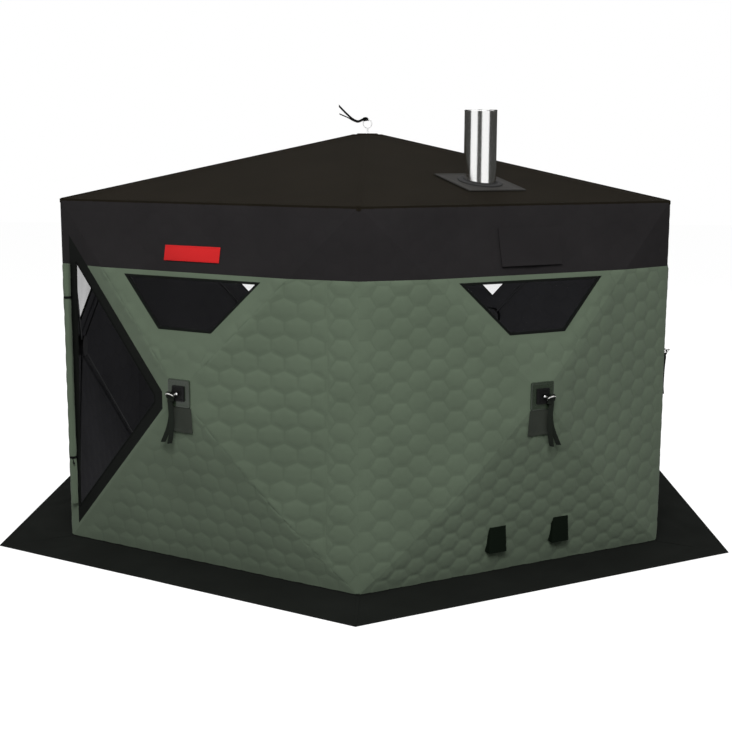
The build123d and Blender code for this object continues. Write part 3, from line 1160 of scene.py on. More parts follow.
    def _spots(self, places: np.ndarray, depth: float, height: Values, level: Values) -> np.ndarray:
        """Points of the wall facing -Y from flat places, a depth and swelling.

        Args:
            places: Places along the wall and up it.
            depth: Depth inward from the outer face.
            height: Swelling at each place.
            level: Share by which the swelling goes straight out, as on a crease between two panels.

        Returns:
            One point for each place.
        """
        plan = self.plan
        u, z = places[:, 0], places[:, 1]
        a, b, c = (plan.facing(*corner) for corner in self.outline[:3])
        normal = (b - a).cross(c - a).normalized()
        normal *= -math.copysign(1.0, normal.y)
        moved_u, moved_z = plan.bow(u, z, self.bowed)
        squeeze = 1.0 - depth * math.tan(HALF_TURN) / plan.half_side
        rise = height * self.layer.direction
        return np.column_stack([
            moved_u * squeeze + rise * normal.x * (1.0 - level),
            -(plan.apothem + plan.outward(u, z) - depth) + rise * (normal.y * (1.0 - level) - level),
            moved_z + rise * normal.z * (1.0 - level),
        ])


# ---- walls
class Region(Enum):
    """The flat faces of a wall, and the strip beside the front corner."""

    UPPER = "upper"
    LOWER = "lower"
    LEFT = "left"
    RIGHT = "right"
    FLAT = "flat"
    STRIP = "strip"


Faces = dict[Region, list[Point]]


@dataclass
class Walls:
    """The six quilted walls with their black bands and inner lining."""

    plan: Plan
    window_gap: float = 0.027
    window_height: float = 0.247
    window_top: float = 0.804
    window_foot: float = 0.314
    door_inset: float = 0.062
    door_drop: float = 0.179
    door_foot: float = 0.083
    door_tip_gap: float = 0.050
    door_tip_height: float = 0.084
    door_tip_drop: float = 0.047
    roof_seat: float = 0.0085
    strip_width: float = 0.145
    cells: Stitching = Stitching(0.0975, 0.0865, 90.0, anchor=(0.0, 0.455))
    band_cells: Stitching = Stitching(0.0975, 0.0865, 90.0, 0.0022, steps=3, anchor=(0.0, 0.455))
    lining_cells: Stitching = Stitching(0.12, 0.10, 0.0, 0.0035, steps=2)
    door_wall_cells: dict[Region, Stitching] = field(default_factory=lambda: {
        Region.LOWER: Stitching(0.112, 0.083, 0.0, 0.0038, anchor=(0.010, 0.290)),
        Region.RIGHT: Stitching(0.130, 0.0835, 0.0, 0.0064, anchor=(0.540, 1.310)),
        Region.STRIP: Stitching(0.0945, 0.094, 90.0, 0.0060, anchor=(0.815, 1.235)),
        Region.FLAT: PLAIN,
    })

    @property
    def top(self) -> float:
        """Height at which the walls' cloth meets the roof."""
        return self.plan.eave - self.roof_seat

    def window(self, side: Side, inset: float = 0.0) -> list[Point]:
        """A window's outline, anticlockwise: a triangle, whose tip is cut off on the front pair.

        Args:
            side: The wall.
            inset: How far the outline is drawn in.

        Returns:
            The outline's corners on the wall.
        """
        plan = self.plan
        fall = math.cos(math.atan2(plan.hub_reach, plan.upper_rise))
        lean = (self.window_top - self.window_foot) / 2 / self.window_height
        reach = self.window_top / 2 - inset * (lean + math.hypot(lean, 1.0))
        top = plan.band_foot - (self.window_gap + inset) * fall
        front = side in (STOVE_SIDE, DOOR_SIDE)
        drop = self.window_height - 2 * inset if front else reach / lean
        low, foot = reach - drop * lean, top - drop * fall
        feet = [(-low, foot), (low, foot)] if front else [(0.0, foot)]
        return [*feet, (reach, top), (-reach, top)]

    def surround(self) -> list[Point]:
        """The outer edge of the doorway's black surround, anticlockwise.

        Returns:
            Its corners on the wall.
        """
        plan = self.plan
        edge = self.door_inset - plan.half_side
        tip = -plan.plate_width / 2 - self.door_tip_gap
        middle = plan.hub - self.door_tip_drop
        high, low = middle + self.door_tip_height / 2, middle - self.door_tip_height / 2
        return [(edge, self.door_foot), (tip, low), (tip, high), (edge, plan.eave - self.door_drop)]

    def regions(self, top: float) -> Faces:
        """The outlines of a wall's five faces, up to a height.

        Args:
            top: The height at which the cloth ends.

        Returns:
            The corners of each face, anticlockwise.
        """
        half, eave = self.plan.half_side, self.plan.eave
        a, b, c, d = self.plan.plate_corners()
        low_left, low_right, up_right, up_left = (-half, 0.0), (half, 0.0), (half, eave), (-half, eave)
        faces = {
            Region.UPPER: [d, c, up_right, up_left],
            Region.LOWER: [low_left, low_right, b, a],
            Region.LEFT: [low_left, a, d, up_left],
            Region.RIGHT: [low_right, up_right, c, b],
            Region.FLAT: [a, b, c, d],
        }
        return {key: clip(value, lambda p: top - p[1]) for key, value in faces.items()}

    def build(self) -> None:
        """Make all walls, bands and linings."""
        for side in Side:
            self._wall(side)
            self._band(side)
            self._lining(side)

    def _frame(self, foot: float, top: float) -> list[Outline]:
        """What holds the quilting down: the cloth's edge and the square under the hub plate."""
        half = self.plan.half_side
        return [[(-half, foot), (half, foot), (half, top), (-half, top)], self.plan.plate_corners()]

    def _faces(self, side: Side) -> Faces:
        """The faces of a wall's green cloth, with the door wall's corner strip on its own.

        Args:
            side: The wall.

        Returns:
            The corners of each face.
        """
        faces = self.regions(self.plan.band_foot)
        if side is DOOR_SIDE:
            seam = self.plan.half_side - self.strip_width
            whole = faces[Region.RIGHT]
            faces[Region.RIGHT] = clip(whole, lambda p: seam - p[0])
            faces[Region.STRIP] = clip(whole, lambda p: p[0] - seam)
        return faces

    def _holes(self, side: Side) -> list[Outline]:
        """What is cut out of a wall."""
        return [self.window(side), self.surround()] if side is DOOR_SIDE else [self.window(side)]

    def _bowed(self, side: Side) -> Sequence[int]:
        """The sides on which a wall's lower crease bends; the doorway's side is straight."""
        return (1,) if side is DOOR_SIDE else (-1, 1)

    def _wall(self, side: Side) -> None:
        """Make the green part of one wall; the door wall's panels are cut other ways of the quilting.

        Args:
            side: The wall.
        """
        apart = side is DOOR_SIDE
        frame = [] if apart else self._frame(0.0, self.plan.band_foot)
        own = self.door_wall_cells if apart else {}
        panels = [Panel(self.plan, outline, own.get(region, self.cells), SHELL, self._holes(side),
                        self._bowed(side), side.value + 3, frame).build()
                  for region, outline in self._faces(side).items()]
        name = f"{side.label}_wall"
        whole = merge(panels, 0.0 if apart else WELD)
        piece = add_piece(f"{name}_quilt", transformed(whole, side.turn), GREEN, replaces=[name])

    def _band(self, side: Side) -> None:
        """Make the black part of one wall, between its window's head and the roof.

        Args:
            side: The wall.
        """
        foot = self.plan.band_foot
        holes = [self.surround()] if side is DOOR_SIDE else []
        parts = [clip(outline, lambda p: p[1] - foot) for outline in self.regions(self.top).values()]
        panels = [Panel(self.plan, part, self.band_cells, SHELL, holes, (), side.value + 9,
                        self._frame(foot, self.top)).build() for part in parts if len(part) > 2]
        name = f"{side.label}_band"
        whole = transformed(merge(panels, WELD), side.turn)
        piece = add_piece(f"{name}_quilt", whole, BLACK, replaces=[name])

    def _lining(self, side: Side) -> None:
        """Make the black inner cloth of one wall.

        Args:
            side: The wall.
        """
        panels = [Panel(self.plan, outline, self.lining_cells, INSIDE, self._holes(side), self._bowed(side),
                        side.value + 20, self._frame(0.0, self.top)).build()
                  for outline in self.regions(self.top).values()]
        piece = add_piece(f"{side.label}_lining", transformed(merge(panels, WELD), side.turn), LINING)


# ---- windows
@dataclass
class Windows:
    """The clear sheets of the six walls and the tape sewn round them."""

    plan: Plan
    walls: Walls
    tape_width: float = 0.009
    tape_height: float = 0.0022
    overlap: float = 0.003
    film: float = 0.0012
    film_depth: float = 0.0055
    film_wave: float = 0.0012
    narrowest: float = 0.003

    def build(self) -> None:
        """Make the films and tapes of all walls."""
        films = [transformed(double_sheet(28, 12, partial(self._film_point, side)), side.turn)
                 for side in Side]
        tapes = [transformed(self._tape(side), side.turn) for side in Side]
        add_piece("window_films", merge(films), CLEAR, replaces=["window_panes"])
        add_piece("window_borders", merge(tapes), TAPE, replaces=["window_tapes"])

    def _film_point(self, side: Side, skin: int, across: float, up: float) -> Vector:
        """A point of a clear sheet, with the slight waves of soft film.

        Args:
            side: The wall.
            skin: 0 for the outer skin and 1 for the inner one.
            across: Share of the way across.
            up: Share of the way up.

        Returns:
            The point.
        """
        outline = self.walls.window(side, self.tape_width / 2)
        foot, top = outline[0][1], outline[-1][1]
        low, high = max(-outline[0][0], self.narrowest), outline[-2][0]
        z = foot + up * (top - foot)
        reach = low + up * (high - low)
        u = -reach + 2 * reach * across
        still = 16 * up * (1 - up) * across * (1 - across)
        wave = self.film_wave * ripples(u, z, side.value + 40, 0.30) * still
        return self.plan.facing(u, z, wave - self.film_depth - skin * self.film)

    def _tape(self, side: Side) -> Mesh:
        """The sewn border of one window, with a raised edge on both sides.

        Args:
            side: The wall.

        Returns:
            The mesh.
        """
        wide = self.tape_width
        steps = ((-self.overlap, 0.0), (-self.overlap, 0.6), (0.001, 1.0), (wide * 0.45, 0.85),
                 (wide - 0.0015, 1.0), (wide, 0.5), (wide, -3.4))
        rings = [[self.plan.facing(u, z, level * self.tape_height) for u, z in self.walls.window(side, inset)]
                 for inset, level in steps]
        sunk = [spot + Vector((0.0, 0.0030, 0.0)) for spot in rings[0]]
        return through([sunk, *rings], closed=True)


# ---- doorway
@dataclass
class Doorway:
    """The black surround with its zip, and the door rolled up beside it."""

    plan: Plan
    walls: Walls
    border: float = 0.062
    post_top: float = 0.048
    post_foot: float = 0.010
    zip_gap: float = 0.004
    zip_lift: float = 0.0008
    tooth: Spot = (0.0030, 0.0052, 0.0022)
    tooth_step: float = 0.0055
    roll_radius: float = 0.0185
    layer_step: float = 0.0014
    wound_end: Sequence[Point] = ((0.40, 0.007), (0.46, 0.001), (0.60, 0.0), (0.66, 0.006),
                                  (0.80, 0.006), (0.86, 0.0))
    tie_width: float = 0.012
    tie_reach: float = 0.022
    tie_heights: tuple[float, float] = (0.444, 1.279)

    def opening(self) -> list[Point]:
        """The doorway's opening on the wall, anticlockwise.

        Returns:
            Its corners.
        """
        (edge, foot), (tip, low), (_, high), (_, top) = self.walls.surround()
        fall = (top - high) / (tip - edge)
        climb = (low - foot) / (tip - edge)
        upper = top - self.border * math.hypot(fall, 1.0)
        lower = foot + self.border * math.hypot(climb, 1.0)
        reach = tip - edge - self.border
        ends = ((self.post_foot, lower, climb), (reach, lower, climb), (reach, upper, -fall),
                (self.post_top, upper, -fall))
        return [(edge + out, height + slope * out) for out, height, slope in ends]

    def build(self) -> None:
        """Make the surround, its zip, the rolled door and its ties."""
        self._surround()
        self._zip()
        self._roll()
        self._ties()

    def _surround(self) -> None:
        """Make the black cloth border of the doorway."""
        layer = Layer(seen=0.0005, hidden=0.0092)
        cells = Stitching(0.05, 0.04, loft=0.0, steps=2)
        panels = []
        for part in self.walls.regions(self.plan.eave).values():
            for a, b in pairs(self.walls.surround()):
                part = clip(part, partial(left_of, a, b))
            if len(part) > 2:
                panels.append(Panel(self.plan, part, cells, layer, [self.opening()], ()).build())
        bm = transformed(merge(panels), DOOR_SIDE.turn)
        add_piece("doorway_surround", bm, TAPE, replaces=["door_surround"])

    def _zip(self) -> None:
        """Make the coil zip along the two slanted edges of the opening."""
        line = [Vector((x + self.zip_gap, z + self.zip_gap * shift, 0.0))
                for (x, z), shift in zip(self.opening(), (-1.0, -0.5, 0.5, 1.0))]
        teeth = []
        for a, b in zip(line, line[1:]):
            slope = math.atan2(b.y - a.y, b.x - a.x)
            turn = DOOR_SIDE.turn @ Matrix.Rotation(math.pi / 2, 4, "X") @ Matrix.Rotation(slope, 4, "Z")
            for spot in straight(a, b, max(1, round((b - a).length / self.tooth_step)))[:-1]:
                at = self.plan.on_wall(spot.x, spot.y, DOOR_SIDE, self.zip_lift)
                teeth.append(block(self.tooth, Matrix.Translation(at) @ turn))
        add_piece("door_zip_coil", merge(teeth), TAPE, smooth=False)

    def _axis(self) -> tuple[Vector, Vector]:
        """The rolled door's lower and upper ends on its axis."""
        low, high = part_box("rolled_door")
        return tuple(Vector(((low.x + high.x) / 2, (low.y + high.y) / 2, z)) for z in (low.z, high.z))

    def _roll(self) -> None:
        """Make the rolled-up door panel: layers wound on each other, drawn in at the ties."""
        foot, head = self._axis()
        angles = TURN * np.arange(40) / 40
        rings = []
        for height in np.linspace(foot.z, head.z, 151):
            waist = sum(math.exp(-(((height - tie) / self.tie_reach) ** 2)) for tie in self.tie_heights)
            end = math.exp(-((height - foot.z) / 0.012))
            fold = (0.0007 * np.sin(3 * angles + 5 * height) + 0.0005 * np.sin(7 * angles - 13 * height)
                    + 0.0006 * np.sin(41 * height + 2 * angles))
            step = self.layer_step * ((angles / TURN + 0.37) % 1.0)
            radius = self.roll_radius * (1.0 - 0.10 * (waist + end)) - 0.0016 + fold + step
            spots = zip(foot.x + radius * np.cos(angles), foot.y + radius * np.sin(angles))
            rings.append([Vector((x, y, height)) for x, y in spots])
        wound = [[foot + (spot - foot) * share + UP * lift for spot in rings[0]]
                 for share, lift in self.wound_end]
        bm = through([*wound, *rings])
        piece = add_piece("rolled_door_cloth", bm, GREEN, replaces=["rolled_door"])

    def _ties(self) -> None:
        """Make the webbing ties round the roll, the lower with a toggle on its tail."""
        foot, _ = self._axis()
        inward = Vector((-foot.x, -foot.y, 0.0)).normalized()
        parts = []
        for height in self.tie_heights:
            path = circle(self.roll_radius + 0.0004, 40, (foot.x, foot.y, height))
            parts.append(swept(path, strap_section(self.tie_width, 0.0016), UP, closed=True))
        start = Vector((foot.x, foot.y, self.tie_heights[0])) - inward * (self.roll_radius + 0.001)
        along = DOOR_SIDE.turn @ Vector((1.0, 0.0, 0.0))
        run = ((0.0, 0.0), (0.012, 0.001), (0.021, 0.006), (0.026, 0.016), (0.028, 0.028))
        tail = [start + along * aside - UP * down for aside, down in run]
        parts.append(swept(tail, round_section(0.0022, 10), inward))
        place = Matrix.Translation(tail[-1]) @ Matrix.Rotation(math.pi / 2, 4, inward)
        toggle = [(0.0, -0.011), (0.0035, -0.010), (0.0048, 0.0), (0.0035, 0.010), (0.0, 0.011)]
        parts.append(lathe(toggle, place, 20))
        add_piece("door_tie_webbing", merge(parts), WEBBING, replaces=["door_ties"])


# ---- hubs
@dataclass
class WallHub:
    """The fittings at the middle of one wall."""

    plan: Plan
    side: Side
    plate_thickness: float = 0.008
    plate_rows: Sequence[Point] = ((0.0, 0.0), (0.0, 0.66), (0.0018, 0.94), (0.0042, 1.0), (0.0080, 1.0),
                                   (0.0098, 0.96), (0.0115, 0.91), (0.0160, 0.90))
    plate_corner: float = 0.010
    screw_inset: float = 0.023
    screw: Sequence[Point] = ((0.0, 0.0), (0.0048, 0.0), (0.0048, 0.0012), (0.0030, 0.0024), (0.0, 0.0026))
    boss: float = 0.074
    boss_height: float = 0.007
    boss_corner: float = 0.006
    sharpest: float = 0.001
    ring_radius: float = 0.021
    wire: float = 0.003
    ring_drop: float = 0.010
    ring_tilt: float = 52.0
    tab: Sequence[Point] = ((0.004, 0.0012), (0.010, 0.0012), (0.014, 0.0030), (0.016, 0.0060),
                            (0.014, 0.0092), (0.009, 0.0100))
    bolt_radius: float = 0.006
    bolt_top: float = 0.023
    dome: Sequence[Point] = ((0.0, 0.0), (0.0054, 0.0), (0.0054, 0.0014), (0.0045, 0.0027),
                             (0.0024, 0.0035), (0.0, 0.0038))
    strap_width: float = 0.024
    strap_thickness: float = 0.0022
    strap_twist: float = 46.0
    tails: Sequence[tuple[float, Sequence[Spot]]] = (
        (14.0, ((0.002, 0.004, 0.0100), (0.003, -0.014, 0.0115), (0.002, -0.045, 0.0080),
                (0.002, -0.095, 0.0040), (0.006, -0.145, 0.0010), (0.014, -0.190, -0.0020),
                (0.022, -0.222, -0.0030))),
        (-10.0, ((0.004, 0.004, 0.0040), (0.006, -0.014, 0.0030), (0.007, -0.045, 0.0020),
                 (0.011, -0.095, -0.0005), (0.027, -0.145, -0.0030), (0.050, -0.190, -0.0060),
                 (0.066, -0.220, -0.0070))),
    )
    flap_width: float = 0.150
    flap_drop: float = 0.124
    flap_cloth: float = 0.0014

    def build(self) -> None:
        """Make this hub's plate, boss, bolt head, ring, strap and flap."""
        self._plate()
        self._boss()
        self._bolt()
        self._ring()
        self._strap()
        self._flap()

    @property
    def _boss_frame(self) -> Matrix:
        """A frame on the boss's top."""
        return self.plan.hub_frame(self.side, self.plate_thickness + self.boss_height)

    def _plate(self) -> None:
        """Make the plate: a dished square with a raised, rounded rim and four screws."""
        plan, deep = self.plan, self.plate_thickness
        rows = [(inset, level * deep, max(self.plate_corner - inset, self.sharpest))
                for inset, level in self.plate_rows]
        parts = [rounded_block(plan.plate_width, plan.plate_height, rows)]
        across, up = plan.plate_width / 2 - self.screw_inset, plan.plate_height / 2 - self.screw_inset
        for x, y in SQUARE:
            parts.append(lathe(self.screw, Matrix.Translation((x * across, y * up, deep * 0.60)), 24))
        whole = transformed(merge(parts), plan.hub_frame(self.side))
        add_piece(f"{self.side.label}_hub_plate", whole, PLATE, replaces=["hub_plates"])

    def _boss(self) -> None:
        """Make the raised square round the bolt, hollowed in steps."""
        base = self.plate_thickness * 0.55
        top = self.plate_thickness + self.boss_height
        steps = ((0.0, base), (0.0004, top - 0.003), (0.0026, top), (0.0090, top), (0.0110, top - 0.0028),
                 (0.0210, top - 0.0034), (0.0225, top - 0.0008), (0.0250, top - 0.0008))
        rows = [(inset, level, max(self.boss_corner - inset / 3, self.sharpest)) for inset, level in steps]
        bm = transformed(rounded_block(self.boss, self.boss, rows), self.plan.hub_frame(self.side))
        add_piece(f"{self.side.label}_hub_boss", bm, BOSS, replaces=["hub_bosses"])

    def _bolt(self) -> None:
        """Make the bright dome on the bolt's blackened head."""
        at = self.plan.hub_frame(self.side, self.bolt_top - 0.0005)
        add_piece(f"{self.side.label}_hub_bolt_head", lathe(self.dome, at, 32), SATIN)

    def _ring(self) -> None:
        """Make the pull ring beside the bolt, on its bent steel tab."""
        hand, tilt = self.side.hand, math.radians(self.ring_tilt)
        reach = hand * (self.ring_radius + self.bolt_radius + self.wire)
        lift = self.ring_radius * math.sin(tilt) + self.wire
        at = Matrix.Translation((reach, -self.ring_drop, lift)) @ Matrix.Rotation(tilt, 4, "X")
        path = [Vector((hand * x, -0.0035, z)) for x, z in self.tab]
        tab = swept(path, strap_section(0.007, 0.0014), Vector((0.0, 1.0, 0.0)))
        whole = transformed(merge([torus(self.ring_radius, self.wire, at), tab]), self._boss_frame)
        add_piece(f"{self.side.label}_hub_ring", whole, STEEL, replaces=["hub_rings"])

    def _strap(self) -> None:
        """Make the webbing looped through the ring, with two tails that hang and part."""
        hand = self.side.hand
        side = self.ring_radius + self.bolt_radius + self.wire + 0.005
        top = -self.ring_drop - 0.016
        parts = self._knot(hand * side, top)
        for twist, tail in self.tails:
            path = smooth_path([Vector((hand * (side + x), top + y, z)) for x, y, z in tail], 8)
            turns = hand * np.radians(twist + self.strap_twist * np.linspace(0.0, 1.0, len(path)))
            ways = [Vector((math.cos(turn), 0.0, math.sin(turn))) for turn in turns]
            parts.append(swept(path, strap_section(self.strap_width, self.strap_thickness), ways))
        whole = transformed(merge(parts), self._boss_frame)
        add_piece(f"{self.side.label}_pull_strap", whole, STRAP, replaces=["pull_straps"])

    def _knot(self, x: float, top: float) -> list[Mesh]:
        """The hitch on the ring: a loop round the wire and a turn across the tails.

        Args:
            x: The hitch's place across the hub.
            top: Where the tails begin.

        Returns:
            The loop and the turn, in the hub's frame.
        """
        ways = circle(1.0, 24)
        loop = [Vector((x * 1.17, top + 0.017 + 0.016 * way.y, 0.010 + 0.0095 * way.x)) for way in ways]
        turn = [Vector((x + 0.0165 * way.x, top - 0.002, 0.0078 + 0.0078 * way.y)) for way in ways]
        wide = strap_section(self.strap_width + 0.004, 0.0026)
        return [swept(loop, wide, Vector((1.0, 0.0, 0.0)), closed=True),
                swept(turn, strap_section(0.020, 0.0026), Vector((0.0, 1.0, 0.15)), closed=True)]

    def _flap(self) -> None:
        """Make the cloth flap that hangs from under the plate, with a wavy hem."""
        frame = self.plan.face_frame(self.side, self.plan.hub - self.plan.plate_height / 2, upper=False)
        bm = transformed(double_sheet(30, 22, self._flap_point), frame)
        piece = add_piece(f"{self.side.label}_hub_flap", bm, FLAP, replaces=["hub_flaps"])

    def _flap_point(self, skin: int, share: float, down: float) -> Vector:
        """A point of the flap in its face's frame.

        Args:
            skin: 0 for the back and 1 for the front.
            share: Share of the way across.
            down: Share of the way down.

        Returns:
            The point.
        """
        across = share * 2 - 1
        wave = math.sin(across * 4.2 + 0.8 + 0.6 * self.side.value)
        width = (self.flap_width / 2 - 0.002) * (0.93 - 0.01 * down)
        drop = self.flap_drop * down - 0.004 * down * wave * down
        lift = 0.0022 + 0.0055 * down ** 0.7 + 0.0035 * down ** 1.6 * (1 + wave)
        hem = 0.0009 if down > 0.93 else 0.0
        return Vector((across * width, -drop, lift + (self.flap_cloth + hem if skin else -hem * 0.5)))


# ---- roof
@dataclass
class Roof:
    """The roof: one sheet of cloth over the rods, with its seams, cap, ring and strap."""

    plan: Plan
    thickness: float = 0.0025
    sag: float = 0.007
    hole_gap: float = 0.004
    seam_width: float = 0.022
    hem: float = 0.020
    cap_widths: tuple[float, float] = (0.182, 0.118)
    cap_step: float = 0.005
    cap_edge: float = 0.0018
    ring_radius: float = 0.024
    wire: float = 0.003
    stem: float = 0.028
    strap_width: float = 0.019
    tails: Sequence[tuple[float, float, Sequence[Point]]] = (
        (0.0, 1.15, ((0.006, -0.006), (-0.010, 0.002), (-0.032, -0.006), (-0.055, -0.015),
                     (-0.082, -0.004), (-0.112, 0.021), (-0.140, 0.048), (-0.163, 0.072))),
        (6.0, 0.38, ((0.006, -0.010), (-0.010, -0.004), (-0.032, -0.011), (-0.056, -0.019),
                     (-0.084, -0.010), (-0.110, 0.005), (-0.136, 0.016), (-0.160, 0.026))),
    )

    def build(self) -> None:
        """Make the roof and what is on its middle."""
        self._canopy()
        self._seams()
        self._cap()
        self._ring_and_strap()

    def _corner(self, index: int) -> Vector:
        """A corner of the eave."""
        return hexagon_corner(self.plan.corner_radius, index, self.plan.eave)

    def _surface(self, index: int, out: float, along: float) -> Vector:
        """A point of the cloth between two ridges.

        Args:
            index: The panel, from the front corner round.
            out: Share of the way from the middle to the eave.
            along: Share of the way from one ridge to the next.

        Returns:
            The point on the outer face.
        """
        edge = self._corner(index).lerp(self._corner(index + 1), along)
        spot = Vector((edge.x * out, edge.y * out, self.plan.roof_height(self.plan.apothem * (1.0 - out))))
        slack = 16 * along * (1 - along) * max(out - self.plan.crown_share, 0.0) * (1 - out)
        spot.z -= self.sag * slack * (1 + 0.25 * ripples(spot.x, spot.y, 71, 0.8))
        return spot

    def _canopy(self) -> None:
        """Make the six panels as one continuous sheet with a hole under the flashing."""
        plan = self.plan
        bm = bmesh.new()
        peak = bm.verts.new((0.0, 0.0, plan.crown))
        columns = 20
        rings = []
        for share in (plan.crown_share / 2, *np.linspace(plan.crown_share, 1.0, 35)):
            rings.append([bm.verts.new(self._surface(index, share, column / columns))
                          for index in range(SIDES) for column in range(columns)])
        for a, b in pairs(rings[0]):
            bm.faces.new((peak, a, b))
        bridge(bm, rings)
        self._cut_pipe_hole(bm)
        bmesh.ops.recalc_face_normals(bm, faces=bm.faces)
        bmesh.ops.solidify(bm, geom=list(bm.faces), thickness=self.thickness)
        names = [f"{side.label}_roof" for side in Side]
        piece = add_piece("roof_canopy", bm, ROOF, replaces=names)

    def _cut_pipe_hole(self, bm: Mesh) -> None:
        """Cut the round hole for the stove pipe.

        Args:
            bm: The roof's flat sheet.
        """
        low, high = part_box("stove_pipe")
        middle = ((low + high) / 2)[:2]
        radius = (high.x - low.x) / 2 + self.hole_gap

        def within(reach: float) -> list[bmesh.types.BMFace]:
            """The faces whose middles lie within a distance of the pipe's axis."""
            return [face for face in bm.faces if math.dist(face.calc_center_median()[:2], middle) < reach]

        for a, b in pairs(circle(radius, 24, (*middle, 0.0))):
            cut_along(bm, a, b, parts_of(within(radius + 0.10)))
        bmesh.ops.delete(bm, geom=within(radius * 0.985), context="FACES")

    def _seams(self) -> None:
        """Make the sewn seams along the ridges and the hem round the eave."""
        plan = self.plan
        parts = []
        for index in range(SIDES):
            corner = self._corner(index)
            crown = hexagon_corner(plan.corner_radius * plan.crown_share, index, plan.crown)
            ridge = [spot + UP * 0.0004 for spot in straight(crown, crown.lerp(corner, 0.997), 40)]
            parts.append(swept(ridge, strap_section(self.seam_width, 0.0012), UP.cross(corner)))
            eave = hexagon_edge(plan.corner_radius + 0.0012, index, plan.eave - self.hem / 2, 24)
            parts.append(swept(eave, strap_section(self.hem, 0.0024), UP))
        add_piece("roof_seams", merge(parts), ROOF)

    def _cap(self) -> None:
        """Make two stacked reinforcement patches on the flat crown."""
        parts = [double_sheet(16, 16, partial(self._cap_point, level)) for level in (0, 1)]
        add_piece("roof_cap_patches", merge(parts), ROOF, replaces=["roof_cap"])

    def _cap_point(self, level: int, skin: int, across: float, along: float) -> Vector:
        """A point of one of the patches.

        Args:
            level: 0 for the lower patch and 1 for the upper one.
            skin: 0 for its underside and 1 for its top.
            across: Share of the way across.
            along: Share of the way along.

        Returns:
            The point.
        """
        width = self.cap_widths[level]
        x, y = (across - 0.5) * width, (along - 0.5) * width
        lift = self.cap_step * (level + 0.9) if skin else self.cap_step * level + 0.0005
        if level or skin:
            lift -= self.cap_edge * smooth_step(max(abs(x), abs(y)) / (width / 2), 0.86, 1.0)
        return Vector((x, y, self.plan.crown - self._roof_drop(x, y) + lift))

    def _roof_drop(self, x: float, y: float) -> float:
        """How far the roof's face lies under its crown at a place."""
        reach = max(x * math.cos(2 * HALF_TURN * k) + y * math.sin(2 * HALF_TURN * k) for k in range(SIDES))
        return self.plan.pitch * max(reach - self.plan.crown_reach, 0.0)

    def _ring_and_strap(self) -> None:
        """Make the lifting ring on its steel eye, and the strap tied to it."""
        base = self.plan.crown + 2 * self.cap_step
        middle = base + self.stem + self.ring_radius + self.wire
        profile = [(0.0, -0.004), (0.0135, -0.001), (0.0135, 0.0012), (0.0060, 0.0024), (0.0046, 0.0060),
                   (0.0042, self.stem - 0.005), (0.0050, self.stem), (0.0, self.stem + 0.0015)]
        lean = Matrix.Rotation(math.radians(8), 4, "Z") @ Matrix.Rotation(math.pi / 2, 4, "X")
        ring = torus(self.ring_radius, self.wire, Matrix.Translation((0, 0, middle)) @ lean)
        eye = lathe(profile, Matrix.Translation((0, 0, base)), 24)
        add_piece("roof_ring_wire", merge([eye, ring]), SATIN, replaces=["roof_ring"])
        top = middle + self.ring_radius + self.wire
        parts = []
        for turn, rise, route in self.tails:
            way = Matrix.Rotation(math.radians(turn), 3, "Z")
            path = smooth_path([way @ Vector((x, 0.0, top + z)) for x, z in route], 7)
            parts.append(swept(path, strap_section(self.strap_width, 0.0022), way @ Vector((0, 1, rise))))
        knot = [Vector((-0.012 + 0.0150 * spot.x, 0.0, top - 0.002 + 0.0080 * spot.y))
                for spot in circle(1.0, 24)]
        parts.append(swept(knot, strap_section(0.021, 0.003), Vector((0, 1, 0.25)), closed=True))
        add_piece("roof_strap_webbing", merge(parts), WEBBING, replaces=["roof_strap"])


